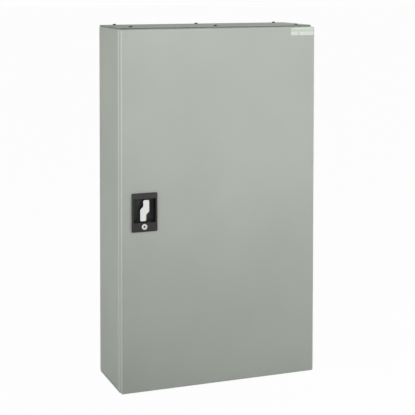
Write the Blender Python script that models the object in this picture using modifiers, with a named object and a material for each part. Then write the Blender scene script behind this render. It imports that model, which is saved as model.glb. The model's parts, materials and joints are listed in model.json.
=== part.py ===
"""Wall-mounted steel load centre (three-phase distribution board).

Front faces -Y, the wall face is the plane y = 0, +Z is up and z = 0 is the
middle of the height.  +X is to the right when facing the door.  All lengths
are in metres.
"""
import math

import bmesh
import bpy
from mathutils import Matrix, Vector

for old_object in list(bpy.data.objects):
    bpy.data.objects.remove(old_object, do_unlink=True)

MM = 0.001
GAP = 0.3 * MM                 # clearance between pieces that touch

# -------------------------------------------------------- overall dimensions
WIDTH = 430 * MM
HEIGHT = 742 * MM
DEPTH = 161 * MM               # wall to front of the door
SHEET = 1.5 * MM
FOLD_R = 3.0 * MM              # outside radius of the folds
FOLD_STEPS = 4
DOOR_T = 12 * MM               # depth of the door pan
DOOR_GAP = 4 * MM              # door return to front flange

HALF_W, HALF_H = WIDTH / 2, HEIGHT / 2
Y_FLANGE = -(DEPTH - DOOR_T - DOOR_GAP)   # front of the box flange
Y_DOOR = -DEPTH                           # front of the door
Y_IN = Y_DOOR + SHEET                     # inner face of the door sheet

# --------------------------------------------------------------------- looks
PAINT = dict(rgb=(0.42, 0.46, 0.41), rough=0.45)
ZINC = dict(rgb=(0.62, 0.63, 0.62), rough=0.35, metal=0.9)
BLACK = dict(rgb=(0.035, 0.035, 0.038), rough=0.5)
HANDLE_GREY = dict(rgb=(0.75, 0.76, 0.75), rough=0.4)
COPPER = dict(rgb=(0.72, 0.36, 0.2), rough=0.3, metal=1.0)
BRASS = dict(rgb=(0.75, 0.58, 0.26), rough=0.3, metal=1.0)
POCKET_GREY = dict(rgb=(0.62, 0.64, 0.62), rough=0.5)
COVER_GREY = dict(rgb=(0.62, 0.64, 0.62), rough=0.45)
LABEL_GREEN = dict(rgb=(0.8, 0.86, 0.8), rough=0.5)
SUPPORT_RED = dict(rgb=(0.55, 0.12, 0.08), rough=0.5)
SWITCH_GREY = dict(rgb=(0.6, 0.61, 0.6), rough=0.5)
SWITCH_BLACK = dict(rgb=(0.03, 0.03, 0.03), rough=0.4)
BREAKER_GREY = dict(rgb=(0.78, 0.79, 0.78), rough=0.45)
TOGGLE_BLACK = dict(rgb=(0.04, 0.045, 0.05), rough=0.4)
STRIP_GREY = dict(rgb=(0.7, 0.71, 0.7), rough=0.5)

# --------------------------------------------------------------- collections
parts = bpy.data.collections.new("load_center")
cutters = bpy.data.collections.new("cutters")
bpy.context.scene.collection.children.link(parts)
bpy.context.scene.collection.children.link(cutters)


# ------------------------------------------------------- objects and parents
def material(name, rgb, rough, metal=0.0):
    made = bpy.data.materials.new(name)
    made.use_nodes = True
    shader = made.node_tree.nodes["Principled BSDF"]
    shader.inputs["Base Color"].default_value = (*rgb, 1.0)
    shader.inputs["Roughness"].default_value = rough
    shader.inputs["Metallic"].default_value = metal
    made.diffuse_color = (*rgb, 1.0)
    return made


def put(name, mesh, look=None, loc=(0, 0, 0), rot=(0, 0, 0), cutter=False):
    """Links a new object: a visible part, or a hidden boolean helper."""
    ob = bpy.data.objects.new(name, mesh)
    (cutters if cutter else parts).objects.link(ob)
    ob.location = loc
    ob.rotation_euler = rot
    if cutter:
        ob.hide_render = True
        ob.display_type = "WIRE"
    elif look:
        mesh.materials.clear()
        mesh.materials.append(material(name + "_mat", **look))
    return ob


def empty(name, loc):
    ob = bpy.data.objects.new(name, None)
    parts.objects.link(ob)
    ob.location = loc
    ob.empty_display_size = 0.02
    return ob


def hang(parent, *children):
    """Parents pieces to an unrotated, still unparented empty, in place."""
    for ob in children:
        ob.parent = parent
        ob.location = ob.location - parent.location


def bake(ob, name, look=None):
    """Replaces an object by its evaluated mesh, with doubled vertices welded."""
    bpy.context.view_layer.update()
    depsgraph = bpy.context.evaluated_depsgraph_get()
    mesh = bpy.data.meshes.new_from_object(ob.evaluated_get(depsgraph))
    bm = bmesh.new()
    bm.from_mesh(mesh)
    bmesh.ops.remove_doubles(bm, verts=bm.verts, dist=1e-6)
    bm.to_mesh(mesh)
    bm.free()
    mesh.name = name
    bpy.data.objects.remove(ob, do_unlink=True)
    if look:
        mesh.materials.append(material(name + "_mat", **look))
    return mesh


# ----------------------------------------------------------------- modifiers
def boolean(target, tool, operation="DIFFERENCE"):
    mod = target.modifiers.new(operation.lower(), "BOOLEAN")
    mod.operation = operation
    mod.object = tool
    mod.solver = "EXACT"


def solidify(ob, name, thickness):
    """Thickens a surface on the side away from its normals."""
    mod = ob.modifiers.new(name, "SOLIDIFY")
    mod.thickness = thickness
    mod.offset = -1
    mod.use_even_offset = True


def bevel(ob, width):
    mod = ob.modifiers.new("bevel", "BEVEL")
    mod.width = width
    mod.segments = 2
    mod.limit_method = "ANGLE"
    mod.angle_limit = math.radians(40)


def smooth(ob):
    for face in ob.data.polygons:
        face.use_smooth = True
    ob.data.set_sharp_from_angle(angle=math.radians(35))


# ------------------------------------------------------- boxes and cylinders
def mesh_of(bm, name):
    mesh = bpy.data.meshes.new(name)
    bm.to_mesh(mesh)
    bm.free()
    return mesh


def box_bm(bm, corner, opposite):
    """Adds a box between two opposite corners, given in either order."""
    corner, opposite = Vector(corner), Vector(opposite)
    size = map(abs, opposite - corner)
    matrix = Matrix.Translation((corner + opposite) / 2) @ Matrix.Diagonal((*size, 1.0))
    bmesh.ops.create_cube(bm, size=1.0, matrix=matrix)


def block(x, z, half_w, half_h, y_front, y_back):
    """Opposite corners of a box centred on x and z."""
    return ((x - half_w, y_front, z - half_h), (x + half_w, y_back, z + half_h))


def box_mesh(name, spans):
    bm = bmesh.new()
    for corner, opposite in spans:
        box_bm(bm, corner, opposite)
    return mesh_of(bm, name)


def boxes(name, look, *spans):
    return put(name, box_mesh(name, spans), look)


def use_boxes(target, name, *spans, operation="DIFFERENCE"):
    """Cuts boxes from the target, or joins them to it; returns the helper."""
    tool = put(name, box_mesh(name, spans), cutter=True)
    boolean(target, tool, operation)
    return tool


AXIS_ROT = {
    "z": Matrix.Identity(4),
    "y": Matrix.Rotation(math.pi / 2, 4, "X"),
}


def use_cylinders(target, name, *groups, operation="DIFFERENCE"):
    """Cuts or joins cylinders; a group is (centres, radius, length, axis, segments)."""
    bm = bmesh.new()
    for centres, radius, length, axis, segments in groups:
        for centre in centres:
            bmesh.ops.create_cone(
                bm, cap_ends=True, segments=segments, radius1=radius, radius2=radius,
                depth=length, matrix=Matrix.Translation(centre) @ AXIS_ROT[axis])
    boolean(target, put(name, mesh_of(bm, name), cutter=True), operation)


# --------------------------------------------------- outlines, plates, lathe
# FRONT lays local X, Y on world X, Z; SIDE lays local X, Y on world Y, Z
FRONT = Matrix(((1, 0, 0, 0), (0, 0, -1, 0), (0, 1, 0, 0), (0, 0, 0, 1)))
SIDE = Matrix(((0, 0, 1, 0), (1, 0, 0, 0), (0, 1, 0, 0), (0, 0, 0, 1)))


def in_mm(points):
    return [(a * MM, b * MM) for a, b in points]


def arc(radius, angles):
    return [(radius * math.cos(a), radius * math.sin(a)) for a in angles]


def rectangle(width, height):
    half_w, half_h = width / 2, height / 2
    return [(-half_w, -half_h), (half_w, -half_h), (half_w, half_h), (-half_w, half_h)]


def rounded(points, radii, steps):
    """Polygon points with every corner turned into an arc of that many steps."""
    out = []
    for i, radius in enumerate(radii):
        corner = Vector(points[i])
        before = (Vector(points[i - 1]) - corner).normalized()
        after = (Vector(points[(i + 1) % len(points)]) - corner).normalized()
        half = before.angle(after) / 2
        reach = radius / math.tan(half)
        centre = corner + (before + after).normalized() * (radius / math.sin(half))
        start = corner + before * reach - centre
        end = corner + after * reach - centre
        turn = math.atan2(start.x * end.y - start.y * end.x, start.dot(end))
        for k in range(steps + 1):
            cos, sin = math.cos(turn * k / steps), math.sin(turn * k / steps)
            out.append((centre.x + start.x * cos - start.y * sin,
                        centre.y + start.x * sin + start.y * cos))
    return out


def plate(name, points, thickness, look, matrix):
    """A flat outline (local XY), thickened evenly about its plane.

    The object's origin is at the matrix's translation.
    """
    curve = bpy.data.curves.new(name, "CURVE")
    curve.dimensions = "2D"
    curve.fill_mode = "BOTH"
    curve.extrude = thickness / 2
    spline = curve.splines.new("POLY")
    spline.points.add(len(points) - 1)
    for point, (x, y) in zip(spline.points, points):
        point.co = (x, y, 0, 1)
    spline.use_cyclic_u = True
    outline = bpy.data.objects.new(name + "_outline", curve)
    cutters.objects.link(outline)
    mesh = bake(outline, name)

    bm = bmesh.new()
    bm.from_mesh(mesh)
    bmesh.ops.recalc_face_normals(bm, faces=bm.faces)
    if bm.calc_volume(signed=True) < 0:
        bmesh.ops.reverse_faces(bm, faces=bm.faces)
    loc = matrix.to_translation()
    bmesh.ops.transform(bm, matrix=Matrix.Translation(-loc) @ matrix, verts=bm.verts)
    bm.to_mesh(mesh)
    bm.free()
    return put(name, mesh, look, loc)


def lathe(name, profile, steps, look=None, loc=(0, 0, 0), rot=(0, 0, 0)):
    """Turned piece; the profile (r, z) runs down its outer side."""
    bm = bmesh.new()
    verts = [bm.verts.new((r, 0, z)) for r, z in profile]
    for pair in zip(verts, verts[1:]):
        bm.edges.new(pair)
    ob = put(name, mesh_of(bm, name), look, loc, rot)
    mod = ob.modifiers.new("screw", "SCREW")
    mod.axis = "Z"
    mod.angle = math.tau
    mod.steps = mod.render_steps = steps
    mod.use_merge_vertices = True
    mod.merge_threshold = 1e-6
    mod.use_smooth_shade = True
    return ob


def screw_mesh(name, look, head_r, head_h, shank_r, length, steps):
    """Shared mesh of a screw; z = 0 is the underside of its head."""
    profile = [
        (0, head_h), (head_r * 0.55, head_h), (head_r * 0.86, head_h * 0.82),
        (head_r, head_h * 0.45), (head_r, 0), (shank_r, 0),
        (shank_r, -length + shank_r * 0.6), (shank_r * 0.4, -length), (0, -length),
    ]
    return bake(lathe(name + "_form", profile, steps), name, look)


def folded_box(name, lo, hi, look, openings):
    """Sheet box from a cube: rounded folds, faces opened, then thickness.

    openings maps a face normal to the flange width left round it, or to
    None where the whole side is open.
    """
    bm = bmesh.new()
    box_bm(bm, lo, hi)
    open_sides = [Vector(n) for n, width in openings.items() if width is None]
    folds = [
        edge for edge in bm.edges
        if not any(f.normal.dot(n) > 0.9 for f in edge.link_faces for n in open_sides)
    ]
    bmesh.ops.bevel(bm, geom=folds, offset=FOLD_R, segments=FOLD_STEPS, profile=0.5,
                    affect="EDGES", clamp_overlap=False)
    bm.normal_update()
    for normal, width in openings.items():
        facing = [f for f in bm.faces if f.normal.dot(Vector(normal)) > 0.99]
        side = max(facing, key=lambda f: f.calc_area())
        if width is not None:
            bmesh.ops.inset_individual(bm, faces=[side], thickness=width - FOLD_R)
        bmesh.ops.delete(bm, geom=[side], context="FACES")
    ob = put(name, mesh_of(bm, name), look)
    solidify(ob, "sheet", SHEET)
    return ob


# ----------------------------------------------------------------- enclosure
BOX_RISE = 0.6 * MM            # the box stands this much above the door
FLANGE = 20 * MM               # front flange round the opening
END_FLANGE = 24 * MM           # flange round the top and bottom openings
RIM = 1.0 * MM                 # end plates stand back this much from the folds
GASKET_T = 1.0 * MM
PLATE_T = 1.2 * MM
Z_GASKET = HALF_H + BOX_RISE + GAP            # underside of the top gasket
Z_TOP_PLATE = Z_GASKET + GASKET_T + GAP       # underside of the top plate
Z_BOTTOM_PLATE = -HALF_H - GAP                # upper face of the bottom plate

END_SCREW_X = 185 * MM
END_SCREW_Y = (-131 * MM, -13.5 * MM)
END_HOLE_R = 2.6 * MM
TOP_SCREWS = [(x, y) for y in END_SCREW_Y for x in (-END_SCREW_X, 0, END_SCREW_X)]
BOTTOM_SCREWS = [(x, y) for y in END_SCREW_Y for x in (-END_SCREW_X, END_SCREW_X)]
WALL_HOLE_X, WALL_HOLE_Z, WALL_HOLE_R = 165 * MM, 318 * MM, 4.5 * MM


def end_holes(screws, z, length):
    """Cylinder group for the end screws' holes."""
    return ([(x, y, z) for x, y in screws], END_HOLE_R, length, "z", 14)


def build_back_box():
    box = folded_box(
        "back_box", (-HALF_W, Y_FLANGE, -HALF_H), (HALF_W, 0, HALF_H + BOX_RISE), PAINT,
        {(0, -1, 0): FLANGE, (0, 0, 1): END_FLANGE, (0, 0, -1): END_FLANGE})
    wall_holes = [(x, 0, z) for x in (-WALL_HOLE_X, WALL_HOLE_X)
                  for z in (-WALL_HOLE_Z, WALL_HOLE_Z)]
    use_cylinders(box, "box_holes",
                  end_holes(TOP_SCREWS, HALF_H, 10 * MM),
                  end_holes(BOTTOM_SCREWS, -HALF_H, 10 * MM),
                  (wall_holes, WALL_HOLE_R, 10 * MM, "y", 20))
    smooth(box)


def build_top_gasket():
    gasket = boxes("top_gasket", BLACK, (
        (-HALF_W + 2 * RIM, Y_FLANGE + 2 * RIM, Z_GASKET),
        (HALF_W - 2 * RIM, -2 * RIM, Z_GASKET + GASKET_T)))
    use_boxes(gasket, "gasket_window", (
        (-HALF_W + END_FLANGE, Y_FLANGE + END_FLANGE, Z_GASKET - 5 * MM),
        (HALF_W - END_FLANGE, -END_FLANGE, Z_GASKET + 8 * MM)))
    use_cylinders(gasket, "gasket_holes", end_holes(TOP_SCREWS, Z_GASKET, 12 * MM))


def build_end_plate(end, z_inner, z_outer, screws):
    low, high = sorted((z_inner, z_outer))
    ob = boxes(f"{end}_end_plate", PAINT, (
        (-HALF_W + RIM, Y_FLANGE + RIM, low), (HALF_W - RIM, -RIM, high)))
    bevel(ob, 0.5 * MM)
    use_cylinders(ob, f"{end}_plate_holes", end_holes(screws, z_inner, 12 * MM))


def build_end_screws(z_top, z_bottom):
    mesh = screw_mesh("end_screw", BLACK, head_r=3.6 * MM, head_h=2.2 * MM,
                      shank_r=2.2 * MM, length=13 * MM, steps=14)
    for i, (x, y) in enumerate(TOP_SCREWS, 1):
        put(f"top_screw_{i}", mesh, loc=(x, y, z_top + GAP))
    for i, (x, y) in enumerate(BOTTOM_SCREWS, 1):
        put(f"bottom_screw_{i}", mesh, loc=(x, y, z_bottom - GAP), rot=(math.pi, 0, 0))


build_back_box()
build_top_gasket()
build_end_plate("top", Z_TOP_PLATE, Z_TOP_PLATE + PLATE_T, TOP_SCREWS)
build_end_plate("bottom", Z_BOTTOM_PLATE, Z_BOTTOM_PLATE - PLATE_T, BOTTOM_SCREWS)
build_end_screws(Z_TOP_PLATE + PLATE_T, Z_BOTTOM_PLATE - PLATE_T)

# ------------------------------------------------------------ door and hinge
# the hinge is at the right side, inside the thickness of the door
HINGE_X = HALF_W - 5.5 * MM
HINGE_Y = Y_DOOR + DOOR_T / 2
PIN_R = 2.0 * MM
ARM_T = 2 * MM
ARM_Z = HALF_H - 3 * MM        # middle of the upper arm, just inside the return
ARM_EYE_R = 3.6 * MM           # round end of the arm, about the pin
NOTCH_Z = (HALF_H - 4.8 * MM, HALF_H - 1.7 * MM)
FOOT_Z = (HALF_H - 10.5 * MM, HALF_H - 3.0 * MM)
# rest of the arm's outline: x, y from the pin in mm
ARM_TAIL = [(-2.4, 9.1), (-31.5, 9.1), (-31.5, 4.6), (-10, 2.5)]

DOOR_SEAL_HALF_W, DOOR_SEAL_HALF_H = 203.5 * MM, 359.5 * MM
DOOR_SEAL_W = 6 * MM           # width of the strip

POCKET_X = (-70 * MM, 110 * MM)
POCKET_Z = (-300 * MM, -150 * MM)
POCKET_D = 8 * MM              # door sheet to the back of the pocket
POCKET_WALL = 1.2 * MM

LABEL_W, LABEL_H, LABEL_T = 53.2 * MM, 16.4 * MM, 0.3 * MM
LABEL_X, LABEL_Z = 185.5 * MM, 361.4 * MM
LABEL_GAP = 0.2 * MM

# opening for the latch body, shared by the door and the latch clamp
LATCH_X = -166.2 * MM
BEZEL_Z = -0.6 * MM            # middle of the bezel and body
BODY_W, BODY_H = 50.2 * MM, 74.6 * MM
LATCH_OPENING = (LATCH_X, BEZEL_Z, BODY_W / 2 + GAP, BODY_H / 2 + GAP)


def build_door():
    door = folded_box("door_panel", (-HALF_W, Y_DOOR, -HALF_H),
                      (HALF_W, Y_DOOR + DOOR_T, HALF_H), PAINT, {(0, 1, 0): None})
    use_boxes(door, "latch_cutout", block(*LATCH_OPENING, Y_DOOR - 5 * MM, Y_DOOR + 5 * MM))
    pin_ends = [(HINGE_X, HINGE_Y, s * HALF_H) for s in (-1, 1)]
    use_cylinders(door, "hinge_pin_holes", (pin_ends, PIN_R + GAP, 8 * MM, "z", 16))
    # notches in the right-hand return, at the height of the arms
    use_boxes(door, "hinge_notches", *[
        ((HINGE_X + 3.2 * MM, HINGE_Y - 4.2 * MM, s * NOTCH_Z[0]),
         (HINGE_X + 9 * MM, HINGE_Y + 9 * MM, s * NOTCH_Z[1])) for s in (-1, 1)])
    smooth(door)
    # the origin goes on the hinge axis
    origin = Vector((HINGE_X, HINGE_Y, 0))
    door.data.transform(Matrix.Translation(-origin))
    door.location = origin
    return door


def build_door_gasket():
    gasket = boxes("door_gasket", BLACK, block(
        0, 0, DOOR_SEAL_HALF_W, DOOR_SEAL_HALF_H, Y_IN + GAP, Y_FLANGE - 0.4 * MM))
    use_boxes(gasket, "door_gasket_window", block(
        0, 0, DOOR_SEAL_HALF_W - DOOR_SEAL_W, DOOR_SEAL_HALF_H - DOOR_SEAL_W,
        Y_IN - 5 * MM, Y_FLANGE + 5 * MM))
    return gasket


def build_chart_pocket():
    """Circuit chart holder: a shallow tray, open at the top."""
    bm = bmesh.new()
    box_bm(bm, (POCKET_X[0], Y_IN + GAP, POCKET_Z[0]),
           (POCKET_X[1], Y_IN + POCKET_D, POCKET_Z[1]))
    top = max(bm.faces, key=lambda f: f.calc_center_median().z)
    bmesh.ops.delete(bm, geom=[top], context="FACES")
    pocket = put("chart_pocket", mesh_of(bm, "chart_pocket"), POCKET_GREY)
    solidify(pocket, "wall", POCKET_WALL)
    return pocket


def build_label():
    middle = (LABEL_X, Y_DOOR - LABEL_GAP - LABEL_T / 2, LABEL_Z)
    return plate("rating_label", rounded(rectangle(LABEL_W, LABEL_H), [0.8 * MM] * 4, 3),
                 LABEL_T, LABEL_GREEN, Matrix.Translation(middle) @ FRONT)


def build_hinge(side, end):
    """Fixed arm with its foot, and a vertical pin; side is +1 at the top."""
    arm_points = [(-ARM_EYE_R, 0)]
    arm_points += arc(ARM_EYE_R, map(math.radians, range(200, 451, 25)))
    arm_points += in_mm(ARM_TAIL)
    eye = (HINGE_X, HINGE_Y, side * ARM_Z)
    arm = plate(f"hinge_bracket_{end}", arm_points, ARM_T, ZINC, Matrix.Translation(eye))
    use_boxes(arm, f"hinge_foot_{end}", (
        (HINGE_X - 30.5 * MM, HINGE_Y + 8.2 * MM, side * FOOT_Z[0]),
        (HINGE_X - 9.5 * MM, HINGE_Y + 9.7 * MM, side * FOOT_Z[1])), operation="UNION")
    use_cylinders(arm, f"hinge_bore_{end}", ([eye], PIN_R + GAP, 10 * MM, "z", 16))

    # the pin has its head at the end towards the middle of the door
    pin_profile = [
        (0, 0), (PIN_R - 0.3 * MM, 0), (PIN_R, -0.3 * MM), (PIN_R, -4.2 * MM),
        (3.3 * MM, -4.2 * MM), (3.3 * MM, -6.2 * MM), (2.6 * MM, -6.8 * MM), (0, -6.8 * MM),
    ]
    lathe(f"hinge_pin_{end}", pin_profile, 16, ZINC,
          loc=(HINGE_X, HINGE_Y, side * (HALF_H - 0.1 * MM)),
          rot=(0, 0, 0) if side > 0 else (math.pi, 0, 0))


door_axis = empty("door_axis", (HINGE_X, HINGE_Y, 0))
door_pieces = [build_door(), build_door_gasket(), build_chart_pocket(), build_label()]
build_hinge(1, "upper")
build_hinge(-1, "lower")

# -------------------------------------------------------- quarter-turn latch
LATCH_Z = 3.2 * MM             # axis of the handle
BEZEL_W, BEZEL_H = 54.5 * MM, 79.4 * MM
BEZEL_PROUD = 2.5 * MM
Y_BEZEL = Y_DOOR - GAP - BEZEL_PROUD          # front of the bezel
Y_BODY_BACK = Y_FLANGE + 2.5 * MM
RECESS_W, RECESS_D = 47.6 * MM, 11.6 * MM     # recess in the face of the latch
RECESS_DOWN, RECESS_UP = 25.0 * MM, 23.8 * MM  # its reach from the handle axis
CLAMP_HALF_W, CLAMP_HALF_H, CLAMP_T = 28.5 * MM, 41 * MM, 2.5 * MM

HANDLE_W = 18.6 * MM
HANDLE_BAR = 12.2 * MM         # width of each bar
HANDLE_HALF = 21.1 * MM        # half the handle's height
HANDLE_T = 9 * MM
Y_HANDLE = Y_BEZEL - 0.5 * MM  # front of the handle
SHAFT_R = 4.0 * MM
CAM_LEN = 41 * MM
CAM_R = 7.5 * MM               # round end, about the shaft
CAM_T = 2.5 * MM
CAM_Y = Y_FLANGE + 4.4 * MM    # middle of the cam, behind the flange
Y_SHAFT_END = CAM_Y + 2.4 * MM

LOCK_X, LOCK_Z = -166.4 * MM, -30.1 * MM
LOCK_R = 5.9 * MM


def build_bezel():
    """Bezel and the body behind it, with the handle's recess and two bores."""
    bezel = plate(
        "latch_bezel", rounded(rectangle(BEZEL_W, BEZEL_H), [2.4 * MM] * 4, 4),
        BEZEL_PROUD, BLACK,
        Matrix.Translation((LATCH_X, Y_DOOR - GAP - BEZEL_PROUD / 2, BEZEL_Z)) @ FRONT)
    use_boxes(bezel, "latch_body", block(
        LATCH_X, BEZEL_Z, BODY_W / 2, BODY_H / 2, Y_DOOR - 1 * MM, Y_BODY_BACK),
        operation="UNION")
    use_boxes(bezel, "latch_recess", (
        (LATCH_X - RECESS_W / 2, Y_BEZEL - 5 * MM, LATCH_Z - RECESS_DOWN),
        (LATCH_X + RECESS_W / 2, Y_BEZEL + RECESS_D, LATCH_Z + RECESS_UP)))
    use_cylinders(
        bezel, "latch_bores",
        ([(LATCH_X, Y_BODY_BACK, LATCH_Z)], SHAFT_R + GAP, 30 * MM, "y", 20),
        ([(LOCK_X, Y_BODY_BACK - 8 * MM, LOCK_Z)], LOCK_R + GAP, 40 * MM, "y", 24))
    return bezel


def build_clamp():
    """Frame round the latch body, behind the door sheet."""
    clamp = boxes("latch_clamp", ZINC, block(
        LATCH_X, BEZEL_Z, CLAMP_HALF_W, CLAMP_HALF_H, Y_IN + GAP, Y_IN + GAP + CLAMP_T))
    use_boxes(clamp, "latch_clamp_window",
              block(*LATCH_OPENING, Y_IN - 5 * MM, Y_IN + 9 * MM))
    return clamp


def build_handle():
    """Stepped handle: two offset bars, point-symmetric about its axis."""
    right = HANDLE_W / 2
    inner = right - HANDLE_BAR
    half_points = [(right, HANDLE_HALF), (inner, HANDLE_HALF),
                   (inner, 8.5 * MM), (-right, 2.0 * MM)]
    points = half_points + [(-x, -y) for x, y in half_points]
    handle = plate(
        "latch_handle", rounded(points, [3 * MM, 3 * MM, 2 * MM, 3 * MM] * 2, 3),
        HANDLE_T, HANDLE_GREY,
        Matrix.Translation((LATCH_X, Y_HANDLE + HANDLE_T / 2, LATCH_Z)) @ FRONT)
    y_start = Y_HANDLE + 5 * MM          # the shaft starts inside the handle
    use_cylinders(handle, "handle_shaft", (
        [(LATCH_X, (y_start + Y_SHAFT_END) / 2, LATCH_Z)],
        SHAFT_R, Y_SHAFT_END - y_start, "y", 20), operation="UNION")
    return handle


def build_cam():
    points = arc(CAM_R, map(math.radians, range(180, 361, 20)))
    points += [(6.5 * MM, CAM_LEN - 3 * MM), (3.5 * MM, CAM_LEN),
               (-3.5 * MM, CAM_LEN), (-6.5 * MM, CAM_LEN - 3 * MM)]
    centre = (LATCH_X, CAM_Y, LATCH_Z)
    cam = plate("latch_cam", points, CAM_T, ZINC, Matrix.Translation(centre) @ FRONT)
    use_cylinders(cam, "cam_bore", ([centre], SHAFT_R + GAP, 10 * MM, "y", 20))
    return cam


def build_lock_barrel():
    profile = [
        (0, 0.5 * MM), (LOCK_R - 1.0 * MM, 0.5 * MM), (LOCK_R, -0.3 * MM),
        (LOCK_R, -19 * MM), (3.5 * MM, -19 * MM), (3.5 * MM, -22.5 * MM), (0, -22.5 * MM),
    ]
    barrel = lathe("lock_barrel", profile, 24, ZINC,
                   loc=(LOCK_X, Y_BEZEL - 0.2 * MM, LOCK_Z), rot=(math.pi / 2, 0, 0))
    use_cylinders(barrel, "key_cup", (
        [(LOCK_X, Y_BEZEL, LOCK_Z)], 2.4 * MM, 5 * MM, "y", 24))
    use_boxes(barrel, "key_slot", block(
        LOCK_X, LOCK_Z, 0.7 * MM, 2.3 * MM, Y_BEZEL - 3 * MM, Y_BEZEL + 8 * MM))
    return barrel


door_pieces += [build_bezel(), build_clamp()]
handle_axis = empty("handle_axis", (LATCH_X, Y_BEZEL, LATCH_Z))
hang(handle_axis, build_handle(), build_cam())
door_pieces.append(build_lock_barrel())
hang(door_axis, *door_pieces, handle_axis)

# ------------------------------------------- mounting pan and inner cover
PAN_Y = -16 * MM               # front of the mounting pan
PAN_HALF_W, PAN_HALF_H = 150 * MM, 320 * MM
Y_MOUNT = PAN_Y - GAP          # back of whatever stands on the pan
LIP = 16 * MM                  # pan lips that carry the inner cover
COVER_Y = -80 * MM             # back of the cover's front sheet
COVER_HALF_W, COVER_HALF_H = 183 * MM, 336 * MM
COVER_RETURN = 14 * MM         # depth of the cover's return behind COVER_Y
Y_COVER_FRONT = COVER_Y - SHEET - GAP    # back of whatever lies on the cover
COVER_SCREWS = [(x, z) for x in (-120 * MM, 120 * MM)
                for z in (-PAN_HALF_H + LIP / 2, PAN_HALF_H - LIP / 2)]
COVER_HOLES = ([(x, COVER_Y, z) for x, z in COVER_SCREWS], 2.3 * MM, 12 * MM, "y", 12)

# breakers and main switch, whose noses pass through the cover
COLUMN_X = 62 * MM
ROWS = 4
BREAKER_L = 81 * MM
BREAKER_PITCH = 54.3 * MM
BREAKER_H = 53.7 * MM
BREAKER_TOP = 110 * MM         # centre of the first breaker
NOSE_L = 45 * MM
Y_NOSE = -88 * MM
Y_SHOULDER = -60 * MM
MAIN_Z = 242.5 * MM
MAIN_NOSE_HALF_W, MAIN_NOSE_HALF_H = 45 * MM, 38 * MM
WINDOW_GAP = 1 * MM            # cover opening to main nose and to first breaker
SLOT_SIDE_GAP = 0.6 * MM       # cover slot to the sides of the breaker noses
SLOT_TOP = BREAKER_TOP + BREAKER_H / 2 + WINDOW_GAP
SLOT_BOTTOM = -213 * MM


def fold_edge(bm, test, *steps):
    """Extrudes one border edge along each step in turn."""
    edge = next(e for e in bm.edges if e.is_boundary and all(test(v.co) for v in e.verts))
    for step in steps:
        new = bmesh.ops.extrude_edge_only(bm, edges=[edge])["geom"]
        verts = [g for g in new if isinstance(g, bmesh.types.BMVert)]
        bmesh.ops.translate(bm, vec=step, verts=verts)
        edge = next(g for g in new if isinstance(g, bmesh.types.BMEdge))


def build_pan():
    """Tray folded back at its sides and forward at its ends, with lips."""
    tolerance = 1e-5
    y_lip = COVER_Y + GAP + SHEET        # back of the lips
    bm = bmesh.new()
    bmesh.ops.create_grid(bm, x_segments=1, y_segments=1, size=0.5)
    bmesh.ops.transform(
        bm, verts=bm.verts,
        matrix=Matrix.Translation((0, PAN_Y, 0)) @ FRONT
        @ Matrix.Diagonal((2 * PAN_HALF_W, 2 * PAN_HALF_H, 1, 1)))
    for s in (1, -1):
        fold_edge(bm, lambda co: abs(co.z - s * PAN_HALF_H) < tolerance,
                  (0, y_lip - PAN_Y, 0), (0, 0, -s * LIP))
    for s in (1, -1):
        fold_edge(bm, lambda co: (abs(co.x - s * PAN_HALF_W) < tolerance
                                  and co.y > PAN_Y - tolerance),
                  (0, -PAN_Y - SHEET - GAP, 0))
    bm.normal_update()
    pan = put("mounting_pan", mesh_of(bm, "mounting_pan"), ZINC)
    solidify(pan, "sheet", SHEET)
    use_cylinders(pan, "pan_lip_holes", COVER_HOLES)


def build_cover():
    cover = folded_box(
        "inner_cover", (-COVER_HALF_W, COVER_Y - SHEET, -COVER_HALF_H),
        (COVER_HALF_W, COVER_Y + COVER_RETURN, COVER_HALF_H), COVER_GREY,
        {(0, 1, 0): None})
    y_front, y_back = COVER_Y - 6 * MM, COVER_Y + 6 * MM
    slots = [((x - NOSE_L / 2 - SLOT_SIDE_GAP, y_front, SLOT_BOTTOM),
              (x + NOSE_L / 2 + SLOT_SIDE_GAP, y_back, SLOT_TOP))
             for x in (-COLUMN_X, COLUMN_X)]
    main_window = block(0, MAIN_Z, MAIN_NOSE_HALF_W + WINDOW_GAP,
                        MAIN_NOSE_HALF_H + WINDOW_GAP, y_front, y_back)
    use_boxes(cover, "cover_slots", *slots, main_window)
    use_cylinders(cover, "cover_screw_holes", COVER_HOLES)


def build_cover_screws():
    mesh = screw_mesh("cover_screw", ZINC, head_r=4.0 * MM, head_h=2.4 * MM,
                      shank_r=1.9 * MM, length=9 * MM, steps=12)
    for i, (x, z) in enumerate(COVER_SCREWS, 1):
        put(f"cover_screw_{i}", mesh, loc=(x, Y_COVER_FRONT, z), rot=(math.pi / 2, 0, 0))


build_pan()
build_cover()
build_cover_screws()

# ------------------------------------------------------ busbars and terminals
BAR_X = (-13 * MM, 0, 13 * MM)
BAR_Y = (-56 * MM, -50 * MM)
BAR_Z = (-122 * MM, 188 * MM)
BAR_HALF_W = 4 * MM

TERMINAL_HALF_W, TERMINAL_HALF_H, TERMINAL_T = 115 * MM, 6 * MM, 9 * MM
TERMINAL_FOOT_INSET = 12 * MM  # end of the bar to the middle of a foot
TERMINAL_HOLE_INSET = 25 * MM  # left end of the bar to the first hole
TERMINAL_HOLES, TERMINAL_PITCH = 12, 16.4 * MM


def build_busbars():
    for n, x in enumerate(BAR_X, 1):
        boxes(f"busbar_l{n}", COPPER, (
            (x - BAR_HALF_W, BAR_Y[0], BAR_Z[0]), (x + BAR_HALF_W, BAR_Y[1], BAR_Z[1])))


def build_busbar_support(end, z):
    support = boxes(f"busbar_support_{end}", SUPPORT_RED, block(
        0, z, 20 * MM, 7 * MM, BAR_Y[0] - 5 * MM, Y_MOUNT))
    use_boxes(support, f"bar_slots_{end}", *[
        block(x, z, BAR_HALF_W + GAP, 20 * MM, BAR_Y[0] - GAP, BAR_Y[1] + GAP)
        for x in BAR_X])


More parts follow.
